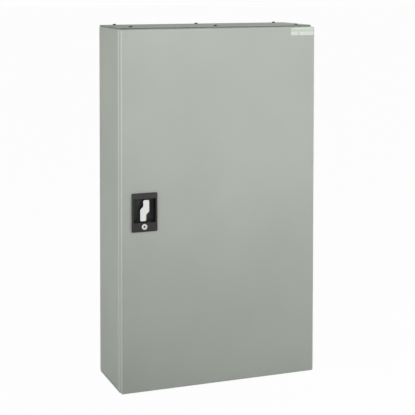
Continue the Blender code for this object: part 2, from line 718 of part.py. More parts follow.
def build_terminal_bar(name, z, y_front):
    """Brass bar on two feet, with a row of holes in its front."""
    bar = boxes(name, BRASS, block(
        0, z, TERMINAL_HALF_W, TERMINAL_HALF_H, y_front, y_front + TERMINAL_T))
    foot_x = TERMINAL_HALF_W - TERMINAL_FOOT_INSET
    use_boxes(bar, name + "_feet", *[
        block(x, z, 5 * MM, 5 * MM, y_front + 4 * MM, Y_MOUNT) for x in (-foot_x, foot_x)],
        operation="UNION")
    first_x = -TERMINAL_HALF_W + TERMINAL_HOLE_INSET
    centres = [(first_x + k * TERMINAL_PITCH, y_front, z) for k in range(TERMINAL_HOLES)]
    use_cylinders(bar, name + "_screws", (centres, 2.2 * MM, 10 * MM, "y", 10))


build_busbars()
build_busbar_support("upper", 160 * MM)
build_busbar_support("lower", -104 * MM)
build_terminal_bar("neutral_bar", -248 * MM, -48 * MM)
build_terminal_bar("earth_bar", -284 * MM, -38 * MM)

# ---------------------------------------------------------------- switchgear
TOGGLE_TILT = math.radians(38)
TOGGLE_Y = -83.5 * MM          # axis of the breaker toggles
MAIN_TOGGLE_Y = -80 * MM
DRUM_STEPS = 12
SLOT_X, SLOT_Z = 8.0 * MM, 21 * MM       # half size of a breaker's toggle slot
GROOVE_Z = 9 * MM              # pole grooves, above and below a breaker's middle


def lever_outline(drum_r, length, root, tip, tilt):
    """Side view of a rocker: a drum with a tapered lever along local -Y,
    turned by tilt about the drum's centre."""
    root_angle = math.asin(root / drum_r)
    sweep = math.tau - 2 * root_angle
    points = arc(drum_r, [-math.pi / 2 + root_angle + sweep * k / DRUM_STEPS
                          for k in range(DRUM_STEPS + 1)])
    points += [(-tip, -length + tip), (-tip * 0.6, -length + tip * 0.25), (0, -length),
               (tip * 0.6, -length + tip * 0.25), (tip, -length + tip)]
    cos, sin = math.cos(tilt), math.sin(tilt)
    return [(x * cos - y * sin, x * sin + y * cos) for x, y in points]


def build_main_switch():
    body = boxes("main_switch_body", SWITCH_GREY, block(
        0, MAIN_Z, 54 * MM, 43 * MM, -68 * MM, Y_MOUNT))
    use_boxes(body, "main_nose", block(
        0, MAIN_Z, MAIN_NOSE_HALF_W, MAIN_NOSE_HALF_H, Y_NOSE, -60 * MM),
        operation="UNION")
    use_boxes(body, "main_slot", block(
        0, MAIN_Z, 36 * MM, 16 * MM, Y_NOSE - 5 * MM, -69.5 * MM))

    # the quarter turn lays the lever on world -Y before it is tilted
    centre = (0, MAIN_TOGGLE_Y, MAIN_Z)
    points = lever_outline(drum_r=8.6 * MM, length=25 * MM, root=4.2 * MM, tip=3.0 * MM,
                           tilt=-math.pi / 2 - TOGGLE_TILT)
    toggle = plate("main_switch_toggle", points, 70 * MM, SWITCH_BLACK,
                   Matrix.Translation(centre) @ SIDE)
    hang(empty("main_switch_axis", centre), toggle)


def breaker_mesh():
    """Three-pole breaker, seen from its end in x and y, centred on z = 0."""
    right = [
        (BREAKER_L / 2, Y_MOUNT), (BREAKER_L / 2, -48 * MM),
        (BREAKER_L / 2 - 4 * MM, Y_SHOULDER), (NOSE_L / 2, Y_SHOULDER - 2 * MM),
        (NOSE_L / 2, Y_NOSE + 1 * MM), (NOSE_L / 2 - 1 * MM, Y_NOSE),
    ]
    outline = right + [(-x, y) for x, y in reversed(right)]
    form = plate("breaker_form", outline, BREAKER_H, None, Matrix.Identity(4))
    toggle_slot = block(0, 0, SLOT_X, SLOT_Z, Y_NOSE - 5 * MM, TOGGLE_Y + 6.5 * MM)
    grooves = [
        ((s * (SLOT_X + 0.8 * MM), Y_NOSE - 1 * MM, z - 0.4 * MM),
         (s * (NOSE_L / 2 + 1 * MM), Y_NOSE + 0.6 * MM, z + 0.4 * MM))
        for s in (-1, 1) for z in (-GROOVE_Z, GROOVE_Z)]
    tool = use_boxes(form, "breaker_cut", toggle_slot, *grooves)
    mesh = bake(form, "breaker", BREAKER_GREY)
    bpy.data.objects.remove(tool, do_unlink=True)
    return mesh


def toggle_mesh():
    points = lever_outline(drum_r=6.0 * MM, length=15 * MM, root=2.8 * MM, tip=2.0 * MM,
                           tilt=TOGGLE_TILT)
    form = plate("rocker_form", points, 38 * MM, None, Matrix.Identity(4))
    return bake(form, "breaker_toggle", TOGGLE_BLACK)


def build_breakers():
    """Two columns, numbered downwards, the left one first."""
    body, toggle = breaker_mesh(), toggle_mesh()
    for column, x in enumerate((-COLUMN_X, COLUMN_X)):
        for row in range(ROWS):
            number = column * ROWS + row + 1
            z = BREAKER_TOP - row * BREAKER_PITCH
            put(f"breaker_{number}", body, loc=(x, 0, z))
            put(f"breaker_toggle_{number}", toggle, loc=(x, TOGGLE_Y, z),
                rot=(0, column * math.pi, 0))


def build_blanking_strip(x, tag):
    """Closes the unused lower part of a cover slot."""
    strip_top = BREAKER_TOP - (ROWS - 1) * BREAKER_PITCH - BREAKER_H / 2 - 0.6 * MM
    strip = boxes(f"blanking_strip_{tag}", STRIP_GREY, (
        (x - 25 * MM, Y_COVER_FRONT - 2 * MM, SLOT_BOTTOM - 2 * MM),
        (x + 25 * MM, Y_COVER_FRONT, strip_top)))
    use_boxes(strip, f"strip_rib_{tag}", (
        (x - 22 * MM, Y_COVER_FRONT - 1 * MM, SLOT_BOTTOM + 1.5 * MM),
        (x + 22 * MM, COVER_Y + 2 * MM, strip_top - 2 * MM)), operation="UNION")


build_main_switch()
build_breakers()
build_blanking_strip(-COLUMN_X, "left")
build_blanking_strip(COLUMN_X, "right")
bpy.context.view_layer.update()
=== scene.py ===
"""Looks of the wall-mounted load centre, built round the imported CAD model."""
import json
import math

import bmesh
import bpy
from mathutils import Matrix, Vector


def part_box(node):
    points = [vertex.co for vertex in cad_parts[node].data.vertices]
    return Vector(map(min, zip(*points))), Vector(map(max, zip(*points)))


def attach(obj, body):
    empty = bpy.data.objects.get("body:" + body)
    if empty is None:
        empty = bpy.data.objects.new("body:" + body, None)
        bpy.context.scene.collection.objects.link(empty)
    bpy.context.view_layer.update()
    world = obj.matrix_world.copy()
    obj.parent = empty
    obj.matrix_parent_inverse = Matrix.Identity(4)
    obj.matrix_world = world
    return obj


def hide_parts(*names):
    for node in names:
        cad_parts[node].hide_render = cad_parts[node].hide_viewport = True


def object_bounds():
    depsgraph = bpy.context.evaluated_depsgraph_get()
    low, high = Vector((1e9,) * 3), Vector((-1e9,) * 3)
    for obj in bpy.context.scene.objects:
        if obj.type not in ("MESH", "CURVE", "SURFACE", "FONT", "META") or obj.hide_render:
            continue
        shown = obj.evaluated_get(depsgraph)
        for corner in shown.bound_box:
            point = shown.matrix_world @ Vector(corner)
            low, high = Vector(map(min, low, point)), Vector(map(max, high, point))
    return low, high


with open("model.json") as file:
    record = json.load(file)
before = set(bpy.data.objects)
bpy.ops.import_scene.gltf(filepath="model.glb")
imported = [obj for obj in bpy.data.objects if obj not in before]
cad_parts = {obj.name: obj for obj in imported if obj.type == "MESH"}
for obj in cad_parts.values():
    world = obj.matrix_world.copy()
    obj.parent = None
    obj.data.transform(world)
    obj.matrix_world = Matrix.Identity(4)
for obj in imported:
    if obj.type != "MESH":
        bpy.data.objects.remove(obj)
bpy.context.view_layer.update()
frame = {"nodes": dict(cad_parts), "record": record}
N = frame["nodes"]
SCENE = bpy.context.scene
MM = 0.001


# =============================================================== node helpers
def new_material(name):
    m = bpy.data.materials.new(name)
    m.use_nodes = True
    nt = m.node_tree
    nt.nodes.clear()
    out = nt.nodes.new("ShaderNodeOutputMaterial")
    b = nt.nodes.new("ShaderNodeBsdfPrincipled")
    nt.links.new(b.outputs[0], out.inputs[0])
    return m, nt, b


def node(nt, kind, **kw):
    n = nt.nodes.new(kind)
    for k, v in kw.items():
        if k.startswith("in_"):
            key = k[3:]
            key = int(key) if key.isdigit() else key.replace("_", " ")
            n.inputs[key].default_value = v
        else:
            setattr(n, k, v)
    return n


def link(nt, a, b):
    nt.links.new(a, b)


def coords(nt, scale=(1, 1, 1), rot=(0, 0, 0)):
    """Object coordinates in metres, optionally stretched."""
    tc = node(nt, "ShaderNodeTexCoord")
    mp = node(nt, "ShaderNodeMapping")
    mp.inputs["Scale"].default_value = scale
    mp.inputs["Rotation"].default_value = rot
    link(nt, tc.outputs["Object"], mp.inputs["Vector"])
    return mp.outputs[0]


def noise(nt, vec, scale, detail=2.0, rough=0.5):
    n = node(nt, "ShaderNodeTexNoise")
    n.inputs["Scale"].default_value = scale
    n.inputs["Detail"].default_value = detail
    n.inputs["Roughness"].default_value = rough
    link(nt, vec, n.inputs["Vector"])
    return n.outputs["Fac"]


def remap(nt, value, lo, hi, a=0.0, b=1.0):
    r = node(nt, "ShaderNodeMapRange")
    r.inputs["From Min"].default_value = lo
    r.inputs["From Max"].default_value = hi
    r.inputs["To Min"].default_value = a
    r.inputs["To Max"].default_value = b
    link(nt, value, r.inputs["Value"])
    return r.outputs[0]


def mix_rgb(nt, fac, a, b):
    m = node(nt, "ShaderNodeMix", data_type="RGBA")
    if hasattr(fac, "is_output") or hasattr(fac, "links"):
        link(nt, fac, m.inputs["Factor"])
    else:
        m.inputs["Factor"].default_value = fac
    for key, v in (("A", a), ("B", b)):
        sock = [s for s in m.inputs if s.name == key and s.type == "RGBA"][0]
        if hasattr(v, "links"):
            link(nt, v, sock)
        else:
            sock.default_value = (*v, 1.0) if len(v) == 3 else v
    return [s for s in m.outputs if s.type == "RGBA"][0]


def bump(nt, height, strength, distance, normal=None):
    b = node(nt, "ShaderNodeBump")
    b.inputs["Strength"].default_value = strength
    b.inputs["Distance"].default_value = distance
    link(nt, height, b.inputs["Height"])
    if normal is not None:
        link(nt, normal, b.inputs["Normal"])
    return b.outputs[0]


def math_node(nt, op, a, b=None):
    n = node(nt, "ShaderNodeMath", operation=op)
    for i, v in enumerate((a, b)):
        if v is None:
            continue
        if hasattr(v, "links"):
            link(nt, v, n.inputs[i])
        else:
            n.inputs[i].default_value = v
    return n.outputs[0]


def srgb(r, g, b):
    f = lambda c: (c / 255 / 12.92) if c / 255 <= 0.04045 else ((c / 255 + 0.055) / 1.055) ** 2.4
    return (f(r), f(g), f(b))


# ================================================================= materials
def xyz(nt):
    tc = node(nt, "ShaderNodeTexCoord")
    sp = node(nt, "ShaderNodeSeparateXYZ")
    link(nt, tc.outputs["Object"], sp.inputs[0])
    return sp.outputs[0], sp.outputs[1], sp.outputs[2]


def powder_coat(name, rgb, rough=0.42, peel=1.0, spec=0.5, fold_highlight=1.12, front=None):
    """Powder-coated sheet steel: orange peel, slight colour drift, and
    a painted highlight along the folds."""
    m, nt, b = new_material(name)
    v = coords(nt)
    drift = noise(nt, v, 5.0, 3.0)
    fleck = noise(nt, v, 900.0, 2.0)
    dark = tuple(c * 0.955 for c in rgb)
    lite = tuple(min(1, c * 1.035) for c in rgb)
    base = mix_rgb(nt, remap(nt, drift, 0.3, 0.7), dark, lite)
    base = mix_rgb(nt, remap(nt, fleck, 0.35, 0.75, 0.0, 0.10), base, tuple(c * 0.8 for c in rgb))
    tc = node(nt, "ShaderNodeTexCoord")               # painted highlight on the folds, where the normal leans off the axes
    ab = node(nt, "ShaderNodeVectorMath", operation="ABSOLUTE")
    link(nt, tc.outputs["Normal"], ab.inputs[0])
    sp = node(nt, "ShaderNodeSeparateXYZ")
    link(nt, ab.outputs[0], sp.inputs[0])
    big = math_node(nt, "MAXIMUM", math_node(nt, "MAXIMUM", sp.outputs[0], sp.outputs[1]), sp.outputs[2])
    base = mix_rgb(nt, remap(nt, big, 0.985, 0.90, 0.0, 1.0), base, tuple(min(1, c * fold_highlight) for c in rgb))
    if front is not None:                             # along the front folds: painted highlight outside, painted shade on the flange inside the door gap
        x, y, z = xyz(nt)
        ax = math_node(nt, "ABSOLUTE", x)
        edge = remap(nt, ax, front[0] - 0.9 * MM, front[0] - 0.5 * MM)
        for depth, highlight_gain in ((9.0, 1.2), (2.4, 1.6)):
            near = remap(nt, y, front[1] + depth * MM, front[1] + depth * 0.4 * MM)
            base = mix_rgb(nt, math_node(nt, "MULTIPLY", near, edge), base, tuple(min(1, c * highlight_gain) for c in rgb))
        face = remap(nt, y, front[1] + 1.0 * MM, front[1] + 0.6 * MM)
        painted_gap_shade = math_node(nt, "MULTIPLY", face, remap(nt, ax, front[0] - 0.7 * MM, front[0] - 1.1 * MM))
        base = mix_rgb(nt, painted_gap_shade, base, tuple(c * 0.66 for c in rgb))
    link(nt, base, b.inputs["Base Color"])
    rr = remap(nt, noise(nt, v, 14.0, 4.0), 0.3, 0.7, rough - 0.035, rough + 0.045)
    link(nt, rr, b.inputs["Roughness"])
    b.inputs["Specular IOR Level"].default_value = spec
    peel_h = noise(nt, v, 420.0, 2.0, 0.4)
    n1 = bump(nt, peel_h, 0.22 * peel, 0.12 * MM)
    n2 = bump(nt, noise(nt, v, 2600.0, 1.0), 0.10 * peel, 0.04 * MM, n1)
    link(nt, n2, b.inputs["Normal"])
    return m


def moulded(name, rgb, rough=0.5, grain=1600.0, depth=0.03, drift=0.06, spec=0.5):
    """Moulded plastic: spark-eroded grain, faint flow marks."""
    m, nt, b = new_material(name)
    v = coords(nt)
    flow = noise(nt, v, 35.0, 3.0, 0.6)
    base = mix_rgb(nt, remap(nt, flow, 0.3, 0.7), tuple(c * (1 - drift) for c in rgb),
                   tuple(min(1, c * (1 + drift)) for c in rgb))
    link(nt, base, b.inputs["Base Color"])
    link(nt, remap(nt, noise(nt, v, 260.0, 2.0), 0.3, 0.7, rough - 0.05, rough + 0.06),
         b.inputs["Roughness"])
    b.inputs["Specular IOR Level"].default_value = spec
    g = noise(nt, v, grain, 2.0, 0.6)
    link(nt, bump(nt, g, 0.35, depth * MM), b.inputs["Normal"])
    return m


def zinc_plate(name, rgb=(0.60, 0.61, 0.60), rough=0.32):
    """Passivated zinc: blue and straw-yellow drift with rolled streaks."""
    m, nt, b = new_material(name)
    v = coords(nt)
    hue = noise(nt, v, 28.0, 3.0, 0.6)
    c = mix_rgb(nt, remap(nt, hue, 0.35, 0.65), (rgb[0] * 1.02, rgb[1] * 0.99, rgb[2] * 0.86),
                (rgb[0] * 0.90, rgb[1] * 0.97, rgb[2] * 1.05))
    streak = noise(nt, coords(nt, (60, 60, 2)), 30.0, 3.0)
    c = mix_rgb(nt, remap(nt, streak, 0.4, 0.75, 0, 0.25), c, tuple(k * 0.7 for k in rgb))
    link(nt, c, b.inputs["Base Color"])
    b.inputs["Metallic"].default_value = 0.9
    link(nt, remap(nt, streak, 0.3, 0.7, rough - 0.07, rough + 0.12), b.inputs["Roughness"])
    link(nt, bump(nt, noise(nt, v, 700.0, 2.0), 0.15, 0.03 * MM), b.inputs["Normal"])
    return m


def drawn_metal(name, rgb, rough=0.28, along=(1, 1, 1), tarnish=None):
    """Bar stock with draw lines along its length and slight tarnish."""
    m, nt, b = new_material(name)
    v = coords(nt)
    lines = noise(nt, coords(nt, along), 900.0, 2.0, 0.7)
    spots = noise(nt, v, 60.0, 4.0, 0.65)
    tarnish = tarnish or tuple(c * 0.55 for c in rgb)
    c = mix_rgb(nt, remap(nt, spots, 0.45, 0.8, 0, 0.6), rgb, tarnish)
    link(nt, c, b.inputs["Base Color"])
    b.inputs["Metallic"].default_value = 1.0
    link(nt, remap(nt, lines, 0.3, 0.7, rough - 0.08, rough + 0.14), b.inputs["Roughness"])
    link(nt, bump(nt, lines, 0.25, 0.03 * MM), b.inputs["Normal"])
    return m


def seal_rubber(name, lo=(0.018, 0.019, 0.018), hi=(0.045, 0.047, 0.045), right=1.0):
    """Foam rubber; with right above 1 it gets painted light, growing lighter towards +X."""
    m, nt, b = new_material(name)
    v = coords(nt)
    fac = remap(nt, noise(nt, v, 90.0, 4.0), 0.3, 0.75)
    c = mix_rgb(nt, fac, lo, hi)
    if right != 1.0:
        c = mix_rgb(nt, remap(nt, xyz(nt)[0], -0.215, 0.215), c,
                    mix_rgb(nt, fac, tuple(k * right for k in lo), tuple(k * right for k in hi)))
    link(nt, c, b.inputs["Base Color"])
    b.inputs["Roughness"].default_value = 0.85
    b.inputs["Specular IOR Level"].default_value = 0.3
    link(nt, bump(nt, noise(nt, v, 1200.0, 3.0), 0.6, 0.12 * MM), b.inputs["Normal"])
    return m


PAINT_RGB = tuple(c * k for c, k in zip(srgb(172, 179, 169), (1.018, 0.997, 1.022)))
M = {
    "paint": powder_coat("enclosure_paint", PAINT_RGB, 0.42),
    # box paint a shade darker than the door's: painted shade for the box sides; its front corners get a painted
    # highlight and its flange in the door gap painted shade
    "box": powder_coat("box_paint", tuple(c * 0.962 for c in PAINT_RGB), 0.42,
                       front=(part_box("back_box")[1].x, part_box("back_box")[0].y)),
    "plate": powder_coat("end_plate_paint", tuple(c * 0.88 for c in PAINT_RGB), 0.45),
    "cover": powder_coat("cover_paint", srgb(214, 216, 212), 0.45),
    "seal": seal_rubber("seal"),
    # top seal in grey rubber, with painted light making it lighter towards +X
    "seal_top": seal_rubber("seal_top", (0.170, 0.175, 0.167), (0.222, 0.228, 0.218), 1.4),
    "black": moulded("latch_black", srgb(50, 49, 48), 0.55, 1500.0, 0.05),
    "zinc": zinc_plate("zinc"),
    "dark_screw": drawn_metal("end_screw", srgb(70, 70, 68), 0.45, (1, 1, 1)),
    "copper": drawn_metal("copper", (0.72, 0.36, 0.2), 0.25, (60, 60, 1), (0.42, 0.18, 0.10)),
    "brass": drawn_metal("brass", (0.76, 0.58, 0.27), 0.25, (1, 60, 60), (0.5, 0.36, 0.15)),
    "red": moulded("support_red", (0.42, 0.075, 0.04), 0.5, 900.0, 0.06),
    "switch": moulded("switch_grey", srgb(196, 198, 195), 0.5),
    "breaker": moulded("breaker_white", srgb(222, 223, 220), 0.45),
    "toggle": moulded("toggle_black", srgb(36, 38, 42), 0.32, 2200.0, 0.015),
    "pocket": moulded("pocket_grey", srgb(200, 203, 199), 0.5),
    "strip": moulded("strip_grey", srgb(212, 214, 210), 0.5),
    "handle": moulded("handle_light", srgb(232, 233, 231), 0.38, 1800.0, 0.02, 0.015),
    "chrome": drawn_metal("lock_metal", (0.82, 0.82, 0.80), 0.22, (1, 30, 1), (0.6, 0.6, 0.58)),
    "label": moulded("label", srgb(226, 232, 224), 0.4, 3000.0, 0.01, 0.01),
}
LOOK = {
    "back_box": "box", "door_panel": "paint", "top_end_plate": "plate",
    "bottom_end_plate": "plate", "top_gasket": "seal", "door_gasket": "seal",
    "mounting_pan": "zinc", "latch_clamp": "zinc", "latch_cam": "zinc",
    "neutral_bar": "brass", "earth_bar": "brass", "inner_cover": "cover",
    "main_switch_body": "switch", "main_switch_toggle": "toggle",
    "latch_bezel": "black", "latch_handle": "handle", "lock_barrel": "chrome",
    "rating_label": "label", "chart_pocket": "pocket",
}
for name, ob in N.items():
    key = LOOK.get(name)
    if key is None:
        for prefix, k in (("busbar_l", "copper"), ("busbar_support", "red"), ("breaker_toggle", "toggle"),
                          ("breaker_", "breaker"), ("top_screw", "dark_screw"),
                          ("bottom_screw", "dark_screw"), ("cover_screw", "zinc"),
                          ("hinge_", "zinc"), ("blanking", "strip")):
            if name.startswith(prefix):
                key = k
                break
    ob.data.materials.clear()
    ob.data.materials.append(M[key])


M["black_deep"] = moulded("grip_black", srgb(30, 29, 29), 0.6, 1500.0, 0.05)
M["lock_face"] = moulded("lock_face", srgb(226, 226, 223), 0.42, 1800.0, 0.02, 0.02)
M["window"] = moulded("window_smoke", srgb(150, 156, 160), 0.25, 2400.0, 0.01, 0.03)
def inside(nt, v, lo, hi):
    return math_node(nt, "MULTIPLY", math_node(nt, "GREATER_THAN", v, lo), math_node(nt, "LESS_THAN", v, hi))


def paper_base(name, rough=0.45):
    m, nt, b = new_material(name)
    v = coords(nt)
    b.inputs["Roughness"].default_value = rough
    link(nt, bump(nt, noise(nt, v, 2400.0, 3.0), 0.2, 0.02 * MM), b.inputs["Normal"])
    return m, nt, b, v


def printed_label(name, lo, hi):
    """Blank rating label: pale green band over white fields, no lettering."""
    m, nt, b, v = paper_base(name, 0.38)
    x, y, z = xyz(nt)
    h = hi.z - lo.z
    white = mix_rgb(nt, remap(nt, noise(nt, v, 300.0, 2.0), 0.3, 0.7), srgb(206, 211, 204), srgb(213, 218, 210))
    green = mix_rgb(nt, remap(nt, noise(nt, v, 420.0, 2.0), 0.3, 0.7), srgb(189, 201, 186), srgb(196, 208, 193))
    band = math_node(nt, "GREATER_THAN", z, lo.z + 0.47 * h)
    c = mix_rgb(nt, band, white, green)
    bar = math_node(nt, "MULTIPLY", math_node(nt, "GREATER_THAN", z, lo.z + 0.86 * h),
                    math_node(nt, "GREATER_THAN", x, lo.x + 9 * MM))
    c = mix_rgb(nt, bar, c, srgb(216, 225, 213))
    gap = math_node(nt, "MULTIPLY", inside(nt, x, lo.x + 16.5 * MM, lo.x + 20.0 * MM),
                    math_node(nt, "LESS_THAN", z, lo.z + 0.47 * h))
    c = mix_rgb(nt, gap, c, srgb(192, 196, 190))
    # painted shade: a darker strip along the label's left edge
    rim = math_node(nt, "LESS_THAN", x, lo.x + 0.9 * MM)
    c = mix_rgb(nt, rim, c, srgb(186, 190, 184))
    link(nt, c, b.inputs["Base Color"])
    return m


def ruled_card(name, z0, pitch, margin_x=None):
    """Blank card with faint ruled lines."""
    m, nt, b, v = paper_base(name, 0.6)
    x, y, z = xyz(nt)
    base = mix_rgb(nt, remap(nt, noise(nt, v, 60.0, 4.0), 0.3, 0.7), srgb(236, 236, 230), srgb(246, 246, 242))
    t = math_node(nt, "FRACT", math_node(nt, "DIVIDE", math_node(nt, "SUBTRACT", z, z0), pitch))
    c = mix_rgb(nt, math_node(nt, "LESS_THAN", t, 0.6 * MM / pitch), base, srgb(150, 156, 158))
    if margin_x is not None:
        c = mix_rgb(nt, inside(nt, x, margin_x, margin_x + 0.6 * MM), c, srgb(150, 156, 158))
    link(nt, c, b.inputs["Base Color"])
    return m


def recess_black(name, rgb, painted_shade_rgb, x0, y0):
    """Grained black moulding; painted shade darkens it in the recess
    on the far side."""
    m, nt, b, v = paper_base(name, 0.55)
    x, y, z = xyz(nt)
    flow = remap(nt, noise(nt, v, 35.0, 3.0, 0.6), 0.3, 0.7)
    base = mix_rgb(nt, flow, tuple(c * 0.94 for c in rgb), tuple(c * 1.06 for c in rgb))
    # painted shade: near-black on the far side of the recess, behind the bezel's front
    t = math_node(nt, "MULTIPLY", remap(nt, x, x0 - 1.5 * MM, x0 + 1.5 * MM),
                  math_node(nt, "GREATER_THAN", y, y0))
    low = remap(nt, z, -17 * MM, -27 * MM)           # a little darker round the lock
    base = mix_rgb(nt, low, base, tuple(c * 0.66 for c in rgb))
    c = mix_rgb(nt, t, base, painted_shade_rgb)
    link(nt, c, b.inputs["Base Color"])
    link(nt, bump(nt, noise(nt, v, 1500.0, 2.0, 0.6), 0.35, 0.05 * MM), b.inputs["Normal"])
    return m


M["label"] = printed_label("label_print", *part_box("rating_label"))
M["card"] = ruled_card("card", -0.150, 8 * MM, -0.040)
M["card_rows"] = ruled_card("card_rows", 0.13685 - 0.00015, 18.1 * MM)


# ======================================================== geometry helpers
def merge(bm, part):
    me = bpy.data.meshes.new("tmp")
    part.to_mesh(me)
    part.free()
    bm.from_mesh(me)
    bpy.data.meshes.remove(me)


def cad_bm(node_name):
    """A CAD node's mesh with its seams welded and its flat faces joined up."""
    bm = bmesh.new()
    bm.from_mesh(N[node_name].data)
    bmesh.ops.remove_doubles(bm, verts=bm.verts, dist=1e-6)
    bmesh.ops.dissolve_limit(bm, angle_limit=math.radians(0.6), verts=bm.verts, edges=bm.edges)
    bmesh.ops.recalc_face_normals(bm, faces=bm.faces)
    return bm


def soften(bm, width, segments=2, angle=32, only=None):
    """Rounds every edge sharper than the angle (degrees)."""
    bm.normal_update()
    lim = math.radians(angle)
    edges = [e for e in bm.edges if len(e.link_faces) == 2 and e.calc_face_angle(0) > lim
             and (only is None or only(e))]
    bmesh.ops.bevel(bm, geom=edges, offset=width, segments=segments, profile=0.5,
                    affect="EDGES", clamp_overlap=True)
    bm.normal_update()
    return bm


def add_box(bm, lo, hi, r=0.0, segments=2):
    part = bmesh.new()
    c = [(a + b) / 2 for a, b in zip(lo, hi)]
    d = [abs(b - a) for a, b in zip(lo, hi)]
    bmesh.ops.create_cube(part, size=1.0, matrix=Matrix.Translation(c) @ Matrix.Diagonal((*d, 1)))
    if r > 0:
        bmesh.ops.bevel(part, geom=list(part.edges), offset=r, segments=segments, profile=0.5,
                        affect="EDGES", clamp_overlap=True)
    merge(bm, part)


def add_lathe(bm, profile, n, matrix):
    """Turned part: profile points are (radius, height) from axis to axis."""
    part = bmesh.new()
    rings = []
    for r, h in profile:
        if r < 1e-7:
            rings.append([part.verts.new((0, 0, h))])
        else:
            rings.append([part.verts.new((r * math.cos(math.tau * k / n), r * math.sin(math.tau * k / n), h))
                          for k in range(n)])
    for a, b in zip(rings, rings[1:]):
        for k in range(n):
            q = [a[k % len(a)], a[(k + 1) % len(a)], b[(k + 1) % len(b)], b[k % len(b)]]
            q = list(dict.fromkeys(q))
            if len(q) > 2:
                part.faces.new(q)
    if len(rings[0]) > 1 and len(rings[-1]) > 1:       # a ring: join its ends
        a, b = rings[-1], rings[0]
        for k in range(n):
            part.faces.new([a[k], a[(k + 1) % n], b[(k + 1) % n], b[k]])
    bmesh.ops.recalc_face_normals(part, faces=part.faces)
    bmesh.ops.transform(part, matrix=matrix, verts=part.verts)
    merge(bm, part)


def add_prism(bm, outline, y0, y1, r=0.0, segments=2):
    """Outline in (x, z), extruded from y0 to y1, with rounded rims."""
    part = bmesh.new()
    lo = [part.verts.new((x, y0, z)) for x, z in outline]
    hi = [part.verts.new((x, y1, z)) for x, z in outline]
    part.faces.new(lo)
    part.faces.new(list(reversed(hi)))
    n = len(outline)
    for k in range(n):
        part.faces.new([lo[k], hi[k], hi[(k + 1) % n], lo[(k + 1) % n]])
    bmesh.ops.recalc_face_normals(part, faces=part.faces)
    if r > 0:
        rim = [e for e in part.edges if abs(e.verts[0].co.y - e.verts[1].co.y) < 1e-9]
        bmesh.ops.bevel(part, geom=rim, offset=r, segments=segments, profile=0.5,
                        affect="EDGES", clamp_overlap=True)
    merge(bm, part)


def rounded(pts, radii, n=4):
    """Rounds the corners of an outline with arcs."""
    out = []
    m = len(pts)
    for i in range(m):
        r = radii[i] if isinstance(radii, (list, tuple)) else radii
        p, a, b = Vector(pts[i]), Vector(pts[i - 1]), Vector(pts[(i + 1) % m])
        u, v = (a - p).normalized(), (b - p).normalized()
        half = u.angle(v) / 2
        t = r / math.tan(half)
        c = p + (u + v).normalized() * (r / math.sin(half))
        s, e = p + u * t - c, p + v * t - c
        turn = s.angle_signed(e)
        for k in range(n + 1):
            w = s.copy()
            w.rotate(Matrix.Rotation(-turn * k / n, 2))
            out.append(tuple(c + w))
    return out


def solid_cut(bm, cutter):
    """bm minus cutter, with the exact solver."""
    objs = []
    for name, b in (("tmp_a", bm), ("tmp_b", cutter)):
        me = bpy.data.meshes.new(name)
        b.to_mesh(me)
        b.free()
        ob = bpy.data.objects.new(name, me)
        SCENE.collection.objects.link(ob)
        objs.append(ob)
    m = objs[0].modifiers.new("cut", "BOOLEAN")
    m.operation, m.solver, m.object = "DIFFERENCE", "EXACT", objs[1]
    bpy.context.view_layer.update()
    dg = bpy.context.evaluated_depsgraph_get()
    me = bpy.data.meshes.new_from_object(objs[0].evaluated_get(dg))
    out = bmesh.new()
    out.from_mesh(me)
    bpy.data.meshes.remove(me)
    for ob in objs:
        me = ob.data
        bpy.data.objects.remove(ob, do_unlink=True)
        bpy.data.meshes.remove(me)
    return out


def flatten(ob):
    """Keeps flat faces flat in shading, next to narrow rounded edges."""
    m = ob.modifiers.new("normals", "WEIGHTED_NORMAL")
    m.mode, m.weight, m.keep_sharp = "FACE_AREA", 100, True


def piece(name, bm, look, body, slot, *nodes, sharp=35):
    me = bpy.data.meshes.new(name)
    bmesh.ops.remove_doubles(bm, verts=bm.verts, dist=1e-7)
    bm.to_mesh(me)
    bm.free()
    me.shade_smooth()
    me.set_sharp_from_angle(angle=math.radians(sharp))
    me.materials.append(M[look])
    ob = bpy.data.objects.new(name, me)
    SCENE.collection.objects.link(ob)
    flatten(ob)
    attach(ob, body)
    if nodes:
        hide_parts(*nodes)
    return ob


def copies(name, ob, places, body, nodes=()):
    """Linked copies of a piece's mesh, one per matrix."""
    for i, mat in enumerate(places, 1):
        c = bpy.data.objects.new(f"{name}_{i}", ob)
        SCENE.collection.objects.link(c)
        flatten(c)
        c.matrix_world = mat
        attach(c, body)
        if nodes:
            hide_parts(nodes[i - 1])


def mesh_from(bm, name, look, sharp=35):
    me = bpy.data.meshes.new(name)
    bm.to_mesh(me)
    bm.free()
    me.shade_smooth()
    me.set_sharp_from_angle(angle=math.radians(sharp))
    me.materials.append(M[look])
    return me


def mm(*v):
    return tuple(a * MM for a in v)


FACE_OUT = Matrix.Rotation(math.pi / 2, 4, "X")       # lathe axis +Z to -Y


# ============================================================= plain refines
# pieces whose CAD shape is right get finely rounded edges
REFINE = {
    "top_end_plate": ("plate", "end_plate_paint", 0.25), "bottom_end_plate": ("plate", "end_plate_paint", 0.25),
    "latch_clamp": ("zinc", "zinc", 0.5),
    "latch_cam": ("zinc", "zinc", 0.5), "hinge_bracket_upper": ("zinc", "zinc", 0.35),
    "hinge_bracket_lower": ("zinc", "zinc", 0.35), "busbar_l1": ("copper", "copper", 0.9),
    "busbar_l2": ("copper", "copper", 0.9), "busbar_l3": ("copper", "copper", 0.9),
    "busbar_support_upper": ("red", "support_red", 0.7), "busbar_support_lower": ("red", "support_red", 0.7),
    "chart_pocket": ("pocket", "pocket_grey", 0.4),
    "blanking_strip_left": ("strip", "strip_grey", 0.6), "blanking_strip_right": ("strip", "strip_grey", 0.6),
    "mounting_pan": ("zinc", "zinc", 0.4),
}


def body_of_node(node_name):
    for body, names in frame["record"]["behaviour"]["bodies"].items():
        if node_name in names:
            return body
    return "root"


for node_name, (look, slot, width) in REFINE.items():
    piece(node_name + "_look", soften(cad_bm(node_name), width * MM), look,
          body_of_node(node_name), slot, node_name)


